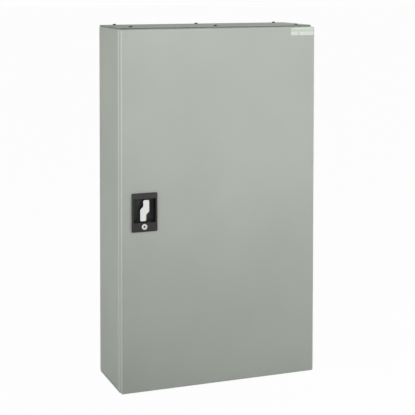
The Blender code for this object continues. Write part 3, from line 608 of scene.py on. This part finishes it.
# the top seal, squeezed out until it is flush with the rim of the plate
glo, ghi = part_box("top_gasket")
bm = cad_bm("top_gasket")
for v in bm.verts:
    for k in (0, 1):
        if abs(v.co[k] - ghi[k]) < 1e-5:
            v.co[k] += 1.1 * MM
        elif abs(v.co[k] - glo[k]) < 1e-5:
            v.co[k] -= 1.1 * MM
    v.co.z += 0.22 * MM if v.co.z > (glo.z + ghi.z) / 2 else -0.22 * MM
piece("top_gasket_look", soften(bm, 0.4 * MM, 2, 50), "seal_top", "root", "seal", "top_gasket")


# =================================================================== screws
def pan_screw(name, look, head_r, head_h, shank_r, length, cross):
    """Pan head with a cross recess, axis +Z, underside of the head at 0."""
    bm = bmesh.new()
    prof = [(0, head_h * MM)]
    prof += [(head_r * MM * math.sin(a), head_h * MM * (0.52 + 0.48 * math.cos(a)))
             for a in (0.35, 0.65, 0.95, 1.2, 1.42)]
    prof += [(head_r * MM, head_h * 0.40 * MM), (head_r * MM, 0.12 * MM), ((head_r - 0.12) * MM, 0),
             (shank_r * MM, 0)]
    z = -0.6
    while z > -length + 1.6:                       # rolled thread
        prof += [(shank_r * MM, z * MM), ((shank_r - 0.32) * MM, (z - 0.4) * MM)]
        z -= 0.8
    prof += [(shank_r * 0.9 * MM, (-length + 0.9) * MM), (0.4 * shank_r * MM, -length * MM), (0, -length * MM)]
    add_lathe(bm, prof, 28, Matrix.Identity(4))
    cut = bmesh.new()
    for a in (0, 1):
        part = bmesh.new()
        w, l = 0.45 * MM, cross * MM
        ring = []
        for z, k in ((head_h * MM + 0.5 * MM, 1.0), (head_h * MM - 1.5 * MM, 0.45)):
            ring.append([part.verts.new((sx * (l * k if not a else w), sy * (w if not a else l * k), z))
                         for sx, sy in ((-1, -1), (1, -1), (1, 1), (-1, 1))])
        part.faces.new(ring[0])
        part.faces.new(list(reversed(ring[1])))
        for k in range(4):
            part.faces.new([ring[0][k], ring[1][k], ring[1][(k + 1) % 4], ring[0][(k + 1) % 4]])
        bmesh.ops.recalc_face_normals(part, faces=part.faces)
        bm = solid_cut(bm, part)
    return mesh_from(bm, name, look)


end_me = pan_screw("end_screw_mesh", "dark_screw", 3.6, 2.2, 2.2, 13, 2.1)
for where, count, s in (("top", 6, 1), ("bottom", 4, -1)):
    names = [f"{where}_screw_{i}" for i in range(1, count + 1)]
    mats = []
    for nm in names:
        lo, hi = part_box(nm)
        seat = hi.z - 2.2 * MM if s > 0 else lo.z + 2.2 * MM
        turn = Matrix.Rotation(0.35 + 0.9 * len(mats), 4, "Z")
        flip = Matrix.Identity(4) if s > 0 else Matrix.Rotation(math.pi, 4, "X")
        mats.append(Matrix.Translation(((lo.x + hi.x) / 2, (lo.y + hi.y) / 2, seat)) @ flip @ turn)
    copies(f"{where}_screw_look", end_me, mats, "root", names)

cov_me = pan_screw("cover_screw_mesh", "zinc", 4.0, 2.4, 1.9, 9, 2.3)
names = [f"cover_screw_{i}" for i in range(1, 5)]
mats = []
for nm in names:
    lo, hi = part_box(nm)
    mats.append(Matrix.Translation(((lo.x + hi.x) / 2, lo.y + 2.4 * MM, (lo.z + hi.z) / 2)) @ FACE_OUT
                @ Matrix.Rotation(0.5 + 1.1 * len(mats), 4, "Z"))
copies("cover_screw_look", cov_me, mats, "root", names)

# ==================================================================== latch
lo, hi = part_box("latch_bezel")
Y_BEZEL, Y_FLOOR = lo.y, None
LATCH_X = (lo.x + hi.x) / 2
hlo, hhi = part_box("latch_handle")
LATCH_Z = (hlo.z + hhi.z) / 2
Y_HANDLE = hlo.y
Y_FLOOR = lo.y + 11.6 * MM                     # bottom of the recess
bm = cad_bm("latch_bezel")
soften(bm, 0.55 * MM, 3, 40, only=lambda e: all(v.co.y < Y_BEZEL + 3 * MM for v in e.verts))
# collar round the spindle
add_lathe(bm, [(9.2 * MM, 0), (12.6 * MM, 0), (12.6 * MM, 1.6 * MM), (12.2 * MM, 2.0 * MM),
               (9.6 * MM, 2.0 * MM), (9.2 * MM, 1.6 * MM)], 40,
          Matrix.Translation((LATCH_X, Y_FLOOR - 0.02 * MM, LATCH_Z)) @ FACE_OUT)
# bezel: black moulding with painted shade (srgb 21) on the far side of the recess
M["bezel"] = recess_black("bezel_black", srgb(50, 49, 48), srgb(21, 21, 21), LATCH_X + 15.5 * MM, Y_BEZEL + 0.9 * MM)
piece("latch_bezel_look", bm, "bezel", "door", "latch_black", "latch_bezel")

# handle grip: near-black moulding with its front set back 1 mm; its dark sides are partly its own colour and partly
# painted shade beside the pale cap
bm = cad_bm("latch_handle")
for v in bm.verts:
    if v.co.y < Y_HANDLE + 0.05 * MM:
        v.co.y = Y_HANDLE + 1.0 * MM
piece("latch_handle_look", soften(bm, 0.4 * MM, 2, 60), "black_deep", "handle", "latch_black", "latch_handle")
hw = (hhi.x - hlo.x) / 2
hl = (hhi.z - hlo.z) / 2
bar = 12.2 * MM
# pale cap, a little larger than the black grip it is pressed on
g = 0.25 * MM
hw, hl, bar = hw + g, hl + g, bar + 2 * g
step = [(hw, hl), (hw - bar, hl), (hw - bar, 8.5 * MM), (-hw, 2.0 * MM),
        (-hw, -hl), (bar - hw, -hl), (bar - hw, -8.5 * MM), (hw, -2.0 * MM)]
cap = [(LATCH_X + x, LATCH_Z + z) for x, z in rounded(step, [3 * MM, 3 * MM, 2.4 * MM, 3 * MM] * 2, 5)]
bm = bmesh.new()
add_prism(bm, cap, Y_HANDLE - 0.1 * MM, Y_HANDLE + 1.3 * MM, 0.5 * MM, 3)
piece("latch_handle_cap", bm, "handle", "handle", "handle_light")

lo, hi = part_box("lock_barrel")
LX, LZ, LR = (lo.x + hi.x) / 2, (lo.z + hi.z) / 2, (hi.x - lo.x) / 2
at = Matrix.Translation((LX, lo.y + 0.5 * MM, LZ)) @ FACE_OUT
bm = bmesh.new()
add_lathe(bm, [(2.25 * MM, 0.15 * MM), (2.6 * MM, 0.5 * MM), (LR - 1.3 * MM, 0.62 * MM), (LR - 0.6 * MM, 0.45 * MM),
               (LR - 0.1 * MM, 0), (LR, -0.4 * MM), (LR, -18.9 * MM), (LR - 0.5 * MM, -19.2 * MM),
               (2.25 * MM, -19.2 * MM)], 40, at)
piece("lock_barrel_look", bm, "lock_face", "lock", "lock_metal", "lock_barrel")
bm = bmesh.new()
add_lathe(bm, [(0, -2.4 * MM), (2.0 * MM, -2.4 * MM), (2.2 * MM, -2.6 * MM), (2.2 * MM, -21.6 * MM),
               (2.3 * MM, -22.2 * MM), (0, -22.2 * MM)], 28, at)
cut = bmesh.new()
add_box(cut, (LX - 0.5 * MM, lo.y, LZ - 1.7 * MM), (LX + 0.5 * MM, lo.y + 9 * MM, LZ + 1.7 * MM))
bm = solid_cut(bm, cut)
piece("lock_plug", bm, "black_deep", "lock", "latch_black")

# ===================================================================== label
lo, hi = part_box("rating_label")
piece("rating_label_look", soften(cad_bm("rating_label"), 0.08 * MM, 1, 50), "label", "door", "label",
      "rating_label")

# ================================================================ door inside
dlo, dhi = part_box("door_panel")
Y_IN = dlo.y + 1.5 * MM                         # inner face of the door sheet
bm = cad_bm("door_gasket")
soften(bm, 1.8 * MM, 3, 50)
piece("door_gasket_look", bm, "seal", "door", "seal", "door_gasket")


def hat(bm, x, z0, z1):
    """Hat-section stiffener, welded to the inside of the door."""
    w, f, d, t = 11 * MM, 8 * MM, 7.5 * MM, 1.0 * MM
    y = Y_IN + 0.02 * MM
    o = [(-w - f, y), (-w, y), (-w + 2 * MM, y + d - t), (w - 2 * MM, y + d - t), (w, y), (w + f, y),
         (w + f, y + t), (w - 0.3 * MM, y + t), (w - 1.7 * MM, y + d), (-w + 1.7 * MM, y + d),
         (-w + 0.3 * MM, y + t), (-w - f, y + t)]
    part = bmesh.new()
    a = [part.verts.new((x + px, py, z0)) for px, py in o]
    b = [part.verts.new((x + px, py, z1)) for px, py in o]
    part.faces.new(a)
    part.faces.new(list(reversed(b)))
    for k in range(len(o)):
        part.faces.new([a[k], b[k], b[(k + 1) % len(o)], a[(k + 1) % len(o)]])
    bmesh.ops.recalc_face_normals(part, faces=part.faces)
    merge(bm, soften(part, 0.35 * MM, 2, 20))
    for z in [z0 + 22 * MM + k * (z1 - z0 - 44 * MM) / 7 for k in range(8)]:
        for s in (-1, 1):
            add_lathe(bm, [(0, 0.28 * MM), (1.6 * MM, 0.22 * MM), (2.2 * MM, 0), (2.4 * MM, -0.3 * MM), (0, -0.3 * MM)], 14,
                      Matrix.Translation((x + s * (w + f / 2), y + t, z)) @ Matrix.Rotation(-math.pi / 2, 4, "X"))


bm = bmesh.new()
for x in (-108 * MM, 140 * MM):
    hat(bm, x, -322 * MM, 322 * MM)
piece("door_stiffeners", bm, "paint", "door", "enclosure_paint")

# earth stud near the hinge, with washer and nut
bm = bmesh.new()
at = Matrix.Translation((178 * MM, Y_IN + 0.02 * MM, -338 * MM)) @ Matrix.Rotation(-math.pi / 2, 4, "X")
prof = [(0, 9.2 * MM), (2.4 * MM, 9.2 * MM)]
for k in range(6):
    prof += [(2.9 * MM, (8.6 - k) * MM), (2.5 * MM, (8.1 - k) * MM)]
prof += [(2.9 * MM, 2.6 * MM), (5.6 * MM, 2.4 * MM), (5.6 * MM, 1.4 * MM), (6.6 * MM, 1.3 * MM), (6.6 * MM, 0), (0, 0)]
add_lathe(bm, prof, 24, at)
part = bmesh.new()
hexa = [(4.8 * MM * math.cos(math.tau * k / 6), 4.8 * MM * math.sin(math.tau * k / 6)) for k in range(6)]
add_prism(bm, [(178 * MM + x, -338 * MM + z) for x, z in hexa], Y_IN + 2.4 * MM, Y_IN + 6.2 * MM, 0.3 * MM)
piece("door_earth_stud", bm, "brass", "door", "brass")

# circuit chart: a card in its pocket, ruled but blank
plo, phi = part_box("chart_pocket")
bm = bmesh.new()
add_box(bm, (plo.x + 6 * MM, plo.y + 3.2 * MM, plo.z + 3 * MM), (phi.x - 6 * MM, plo.y + 3.7 * MM, phi.z + 26 * MM), 0.2 * MM, 1)
piece("chart_card", bm, "card", "door", "label")

# ============================================================== switchgear
BR = {}
blo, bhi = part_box("breaker_1")
BH = bhi.z - blo.z
Y_NOSE = blo.y


def breaker_mesh():
    """Three poles side by side (along z), nose towards -Y, centred on x, z = 0."""
    bm = cad_bm("breaker_1")
    c = ((blo.x + bhi.x) / 2, 0, (blo.z + bhi.z) / 2)
    bmesh.ops.translate(bm, vec=(-c[0], 0, -c[2]), verts=bm.verts)
    cut = bmesh.new()
    for z in (-9 * MM, 9 * MM):                 # seams between the poles, all round
        add_box(cut, (-42 * MM, -62.6 * MM, z - 0.35 * MM), (42 * MM, -59.2 * MM, z + 0.35 * MM))
    for k in (-18 * MM, 0, 18 * MM):
        for s in (-1, 1):                       # clip-in windows beside each lever
            add_box(cut, (min(s * 12.5 * MM, s * 19.5 * MM), Y_NOSE - 1 * MM, k - 4.2 * MM),
                    (max(s * 12.5 * MM, s * 19.5 * MM), Y_NOSE + 0.8 * MM, k + 4.2 * MM), 0.3 * MM)
            # terminal screw wells and cable mouths on the shoulders
            add_lathe(cut, [(0, 6 * MM), (3.4 * MM, 6 * MM), (3.4 * MM, -7 * MM), (0, -7 * MM)], 18,
                      Matrix.Translation((s * 32 * MM, -61 * MM, k)) @ FACE_OUT)
            add_box(cut, (min(s * 37 * MM, s * 43 * MM), -38 * MM, k - 4.6 * MM),
                    (max(s * 37 * MM, s * 43 * MM), -27 * MM, k + 4.6 * MM), 0.8 * MM)
    bm = solid_cut(bm, cut)
    return bm


bm = breaker_mesh()
body_me = mesh_from(bm, "breaker_mesh", "breaker")
inserts = bmesh.new()
for k in (-18 * MM, 0, 18 * MM):
    add_box(inserts, (12.9 * MM, Y_NOSE + 0.15 * MM, k - 3.8 * MM), (19.1 * MM, Y_NOSE + 0.85 * MM, k + 3.8 * MM), 0.2 * MM)
windows = mesh_from(inserts, "breaker_window_mesh", "window")
terms = bmesh.new()
for k in (-18 * MM, 0, 18 * MM):
    for s in (-1, 1):
        add_lathe(terms, [(0, 0.2 * MM), (2.2 * MM, 0.2 * MM), (2.9 * MM, -0.3 * MM), (2.9 * MM, -2.4 * MM), (0, -2.4 * MM)],
                  16, Matrix.Translation((s * 32 * MM, -56.5 * MM, k)) @ FACE_OUT)
term_me = mesh_from(terms, "breaker_terminal_mesh", "zinc")
names = [f"breaker_{i}" for i in range(1, 9)]
mats = []
for i, nm in enumerate(names):
    lo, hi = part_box(nm)
    mats.append(Matrix.Translation(((lo.x + hi.x) / 2, 0, (lo.z + hi.z) / 2))
                @ (Matrix.Identity(4) if i < 4 else Matrix.Rotation(math.pi, 4, "Y")))
copies("breaker_look", body_me, mats, "root", names)
copies("breaker_windows", windows, mats, "root")
copies("breaker_terminals", term_me, mats, "root")


def rocker_mesh(i):
    """The CAD rocker, rounded, with the poles' levers parted by grooves."""
    nm = f"breaker_toggle_{i}"
    bm = cad_bm(nm)
    soften(bm, 0.45 * MM, 2, 40)
    lo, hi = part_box(nm)
    cx, cz = (lo.x + hi.x) / 2, (lo.z + hi.z) / 2
    cut = bmesh.new()
    for z in (-9 * MM, 9 * MM):
        for s in (-1, 1):
            add_box(cut, (lo.x - 2 * MM, lo.y - 2 * MM, cz + z - 1.0 * MM), (hi.x + 2 * MM, lo.y + 5.0 * MM, cz + z + 1.0 * MM))
            break
    return solid_cut(bm, cut)


for i in range(1, 9):
    piece(f"breaker_toggle_look_{i}", rocker_mesh(i), "toggle", f"toggle_{i}", "toggle_black", f"breaker_toggle_{i}")

# main switch
mlo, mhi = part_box("main_switch_body")
MZ = (mlo.z + mhi.z) / 2
bm = soften(cad_bm("main_switch_body"), 0.9 * MM, 3, 40)
cut = bmesh.new()
for s in (-1, 1):
    for z in (24 * MM,):
        add_box(cut, mm(min(s * 18, s * 40), -89, MZ / MM + 22), mm(max(s * 18, s * 40), -87.2, MZ / MM + 34), 0.3 * MM)
    for x in (-15 * MM, 15 * MM):
        add_box(cut, (x - 0.4 * MM, Y_NOSE - 1 * MM, min(MZ + s * 17 * MM, MZ + s * 39 * MM)),
                (x + 0.4 * MM, Y_NOSE + 0.6 * MM, max(MZ + s * 17 * MM, MZ + s * 39 * MM)))
for s in (-1, 1):
    for t in (-1, 1):
        add_lathe(cut, [(0, 3 * MM), (3.2 * MM, 3 * MM), (3.2 * MM, -3 * MM), (0, -3 * MM)], 20,
                  Matrix.Translation((s * 40 * MM, Y_NOSE, MZ + t * 20 * MM if False else MZ - 33 * MM + (0 if t < 0 else 10 * MM))) @ FACE_OUT)
bm = solid_cut(bm, cut)
piece("main_switch_look", bm, "switch", "root", "switch_grey", "main_switch_body")
bm = bmesh.new()
for s in (-1, 1):
    add_box(bm, mm(min(s * 18.5, s * 39.5), -87.9, MZ / MM + 22.5), mm(max(s * 18.5, s * 39.5), -87.15, MZ / MM + 33.5), 0.3 * MM)
piece("main_switch_windows", bm, "window", "root", "switch_grey")
bm = bmesh.new()
for s in (-1, 1):
    for t in (-33, -23):
        add_lathe(bm, [(0, -1.0 * MM), (1.6 * MM, -1.0 * MM), (2.9 * MM, -1.5 * MM), (2.9 * MM, -2.9 * MM), (0, -2.9 * MM)], 20,
                  Matrix.Translation((s * 40 * MM, Y_NOSE, MZ + t * MM)) @ FACE_OUT)
piece("main_switch_screws", bm, "zinc", "root", "zinc")
bm = soften(cad_bm("main_switch_toggle"), 0.8 * MM, 3, 40)
tlo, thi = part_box("main_switch_toggle")
cut = bmesh.new()
for k in range(-3, 4):                           # grip ribs
    add_box(cut, (k * 9 * MM - 0.7 * MM, tlo.y - 2 * MM, tlo.z - 3 * MM), (k * 9 * MM + 0.7 * MM, tlo.y + 3.2 * MM, thi.z + 3 * MM))
bm = solid_cut(bm, cut)
piece("main_toggle_look", bm, "toggle", "main_toggle", "toggle_black", "main_switch_toggle")

# terminal bars: clamping screws in every hole
for nm, slot in (("neutral_bar", "brass"), ("earth_bar", "brass")):
    lo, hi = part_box(nm)
    piece(nm + "_look", soften(cad_bm(nm), 0.5 * MM, 2, 60), "brass", "root", slot, nm)
    bm = bmesh.new()
    z = (lo.z + hi.z) / 2
    for k in range(12):
        x = lo.x + 25 * MM + k * 16.4 * MM
        add_lathe(bm, [(0, -0.1 * MM), (1.4 * MM, -0.1 * MM), (2.0 * MM, -0.5 * MM), (2.0 * MM, -4.6 * MM), (0, -4.6 * MM)], 16,
                  Matrix.Translation((x, lo.y, z)) @ FACE_OUT)
    piece(nm + "_screws", bm, "zinc", "root", "zinc")

# ============================================================== inner cover
clo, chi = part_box("inner_cover")
Y_COVER = clo.y
bm = soften(cad_bm("inner_cover"), 0.3 * MM, 2, 60)
piece("inner_cover_look", bm, "cover", "root", "cover_paint", "inner_cover")
# ruled but blank strips for circuit names, in snap-on carriers, beside each column
for s, tag in ((-1, "left"), (1, "right")):
    x0, x1 = sorted((s * 92 * MM, s * 118 * MM))
    z0, z1 = -82 * MM, 138 * MM
    bm = bmesh.new()
    # the side bars stand 0.1 mm inside the top and bottom bars, so that the four blocks share no edge
    for a, b, c, d, t in ((x0, x1, z1 - 2 * MM, z1, 2.2), (x0, x1, z0, z0 + 2 * MM, 2.2),
                          (x0 + 0.1 * MM, x0 + 2.1 * MM, z0 + 0.9 * MM, z1 - 0.9 * MM, 2.1),
                          (x1 - 2.1 * MM, x1 - 0.1 * MM, z0 + 0.9 * MM, z1 - 0.9 * MM, 2.1)):
        add_box(bm, (a, Y_COVER - t * MM, c), (b, Y_COVER - (0.05 if t > 2.15 else 0.08) * MM, d), 0.5 * MM)
    piece(f"name_frame_{tag}", bm, "strip", "root", "strip_grey")
    bm = bmesh.new()
    add_box(bm, (x0 + 1.5 * MM, Y_COVER - 0.7 * MM, z0 + 1.5 * MM), (x1 - 1.5 * MM, Y_COVER - 0.1 * MM, z1 - 1.5 * MM), 0.15 * MM, 1)
    piece(f"name_card_{tag}", bm, "card_rows", "root", "label")
# pull handles pressed into the cover, top and bottom
for z, tag in ((300 * MM, "upper"), (-262 * MM, "lower")):
    bm = bmesh.new()
    out = rounded([(-30 * MM, z - 8 * MM), (30 * MM, z - 8 * MM), (30 * MM, z + 8 * MM), (-30 * MM, z + 8 * MM)], 7.9 * MM, 8)
    add_prism(bm, out, Y_COVER - 3.0 * MM, Y_COVER - 0.05 * MM, 1.2 * MM, 3)
    cut = bmesh.new()
    inn = rounded([(-24 * MM, z - 4.5 * MM), (24 * MM, z - 4.5 * MM), (24 * MM, z + 4.5 * MM), (-24 * MM, z + 4.5 * MM)], 4.4 * MM, 8)
    add_prism(cut, inn, Y_COVER - 6 * MM, Y_COVER - 1.2 * MM, 0.4 * MM, 2)
    piece(f"cover_grip_{tag}", solid_cut(bm, cut), "strip", "root", "strip_grey")

# ================================================================ enclosure
for nm in ("back_box", "door_panel"):
    bm = soften(cad_bm(nm), 0.28 * MM, 2, 60)
    piece(nm + "_look", bm, "box" if nm == "back_box" else "paint", body_of_node(nm), "enclosure_paint", nm)
for end in ("upper", "lower"):
    piece(f"hinge_pin_look_{end}", soften(cad_bm(f"hinge_pin_{end}"), 0.25 * MM, 2, 40), "zinc", "root", "zinc",
          f"hinge_pin_{end}")


# ===================================================================== stage
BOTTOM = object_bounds()[0].z
bm = bmesh.new()
bmesh.ops.create_grid(bm, x_segments=2, y_segments=2, size=30)
me = bpy.data.meshes.new("floor")
bm.to_mesh(me)
bm.free()
floor = bpy.data.objects.new("floor", me)
SCENE.collection.objects.link(floor)
floor.location = (0, 0, BOTTOM - 0.0005)
fm, nt, b = new_material("floor_pale")
b.inputs["Base Color"].default_value = (0.9, 0.9, 0.9, 1)
b.inputs["Roughness"].default_value = 0.9
em = node(nt, "ShaderNodeEmission")
em.inputs["Strength"].default_value = 1.0
lp = node(nt, "ShaderNodeLightPath")
mx = node(nt, "ShaderNodeMixShader")
fac = remap(nt, lp.outputs["Is Camera Ray"], 0, 1, 0.0, 0.97)
link(nt, fac, mx.inputs[0])
link(nt, b.outputs[0], mx.inputs[1])
link(nt, em.outputs[0], mx.inputs[2])
out = [n for n in nt.nodes if n.type == "OUTPUT_MATERIAL"][0]
link(nt, mx.outputs[0], out.inputs[0])
floor.data.materials.append(fm)

world = bpy.data.worlds.new("studio")
SCENE.world = world
world.use_nodes = True
nt = world.node_tree
nt.nodes.clear()
wo = nt.nodes.new("ShaderNodeOutputWorld")
bg_cam = node(nt, "ShaderNodeBackground", in_Strength=1.0)
bg_cam.inputs["Color"].default_value = (1, 1, 1, 1)
bg_lit = node(nt, "ShaderNodeBackground", in_Strength=1.0)
# even soft light, stronger from behind on the right so that the far sides read too
tc = node(nt, "ShaderNodeTexCoord")
sp = node(nt, "ShaderNodeSeparateXYZ")
link(nt, tc.outputs["Generated"], sp.inputs[0])
quad = math_node(nt, "MINIMUM", sp.outputs[0], sp.outputs[1])
lvl = remap(nt, quad, 0.0, 0.5, 0.20, 1.0)
link(nt, lvl, bg_lit.inputs["Color"])
lp = node(nt, "ShaderNodeLightPath")
mx = node(nt, "ShaderNodeMixShader")
link(nt, lp.outputs["Is Camera Ray"], mx.inputs[0])
link(nt, bg_lit.outputs[0], mx.inputs[1])
link(nt, bg_cam.outputs[0], mx.inputs[2])
link(nt, mx.outputs[0], wo.inputs[0])


def area(name, loc, target, size, power, size_y=None, color=(1, 1, 1)):
    li = bpy.data.lights.new(name, "AREA")
    li.shape = "RECTANGLE"
    li.size = size
    li.size_y = size_y or size
    li.energy = power
    li.color = color
    ob = bpy.data.objects.new(name, li)
    SCENE.collection.objects.link(ob)
    ob.location = loc
    ob.rotation_euler = (Vector(target) - Vector(loc)).to_track_quat("-Z", "Y").to_euler()
    return ob


def spot(name, loc, target, angle, power, radius=0.35):
    """Soft lamp with a grid: bright on its axis, fading towards the edge."""
    li = bpy.data.lights.new(name, "SPOT")
    li.spot_size = math.radians(angle)
    li.spot_blend = 1.0
    li.shadow_soft_size = radius
    li.energy = power
    ob = bpy.data.objects.new(name, li)
    SCENE.collection.objects.link(ob)
    ob.location = loc
    ob.rotation_euler = (Vector(target) - Vector(loc)).to_track_quat("-Z", "Y").to_euler()
    return ob


# name, place, target, width, height, power
LIGHTS = [
    ("right_top", (1.5, -1.3, 1.0), (0.1, -0.1, 0.3), 0.8, 0.8, 16.4),
    ("side_left", (-2.4, -0.3, 0.3), (-0.2, -0.08, 0.1), 1.0, 1.8, 23.4),
]
for nm, loc, tgt, sx, sy, pw in LIGHTS:
    area(nm, loc, tgt, sx, pw, sy)
SPOTS = [
    ("key_right", (0.9, -2.9, 0.9), (0.05, -0.15, 0.38), 30, 38.4),
    ("key_mid", (0.3, -2.9, 0.7), (0.05, -0.15, 0.26), 32, 43.5),
    ("key_left", (-2.0, -2.15, 0.85), (0.0, -0.15, 0.26), 32, 128.0),
]
for nm, loc, tgt, ang, pw in SPOTS:
    spot(nm, loc, tgt, ang, pw)

# ==================================================================== camera
# Standing at the front left, a little above the middle; the lens axis is
# nearly level and the frame is shifted down, as with a view camera.
CAM_POS = Vector((-0.8966455, -2.4386469, 0.4802022))
LENS_PX, SHIFT_PX = 1186.0157, 28.0453
cam_data = bpy.data.cameras.new("camera")
cam = bpy.data.objects.new("camera", cam_data)
SCENE.collection.objects.link(cam)
cam_data.sensor_width = 36
cam_data.lens = LENS_PX / 415 * 36
cam_data.clip_start, cam_data.clip_end = 0.05, 100
CAM_ROWS = Matrix(((0.934544147, -0.355845980, 0.000936314),
                   (0.355532752, 0.933604470, -0.044487718),
                   (0.014956629, 0.041908626, 0.999009493)))
right, forward, up = CAM_ROWS[0], CAM_ROWS[1], CAM_ROWS[2]
rot = Matrix((right, up, -forward)).transposed()
cam.matrix_world = Matrix.Translation(CAM_POS) @ rot.to_4x4()
# the shift belongs to this one standpoint: from any other, the frame is centred
drv = cam_data.driver_add("shift_y").driver
drv.type = "SCRIPTED"
var = drv.variables.new()
var.name = "x"
var.type = "SINGLE_PROP"
var.targets[0].id_type = "OBJECT"
var.targets[0].id = cam
var.targets[0].data_path = "location[0]"
drv.expression = f"{(SHIFT_PX - 207.5) / 415:.5f} if abs(x - {CAM_POS.x:.4f}) < 0.001 else 0"
SCENE.camera = cam
SCENE.view_settings.view_transform = "Standard"

bpy.context.view_layer.update()
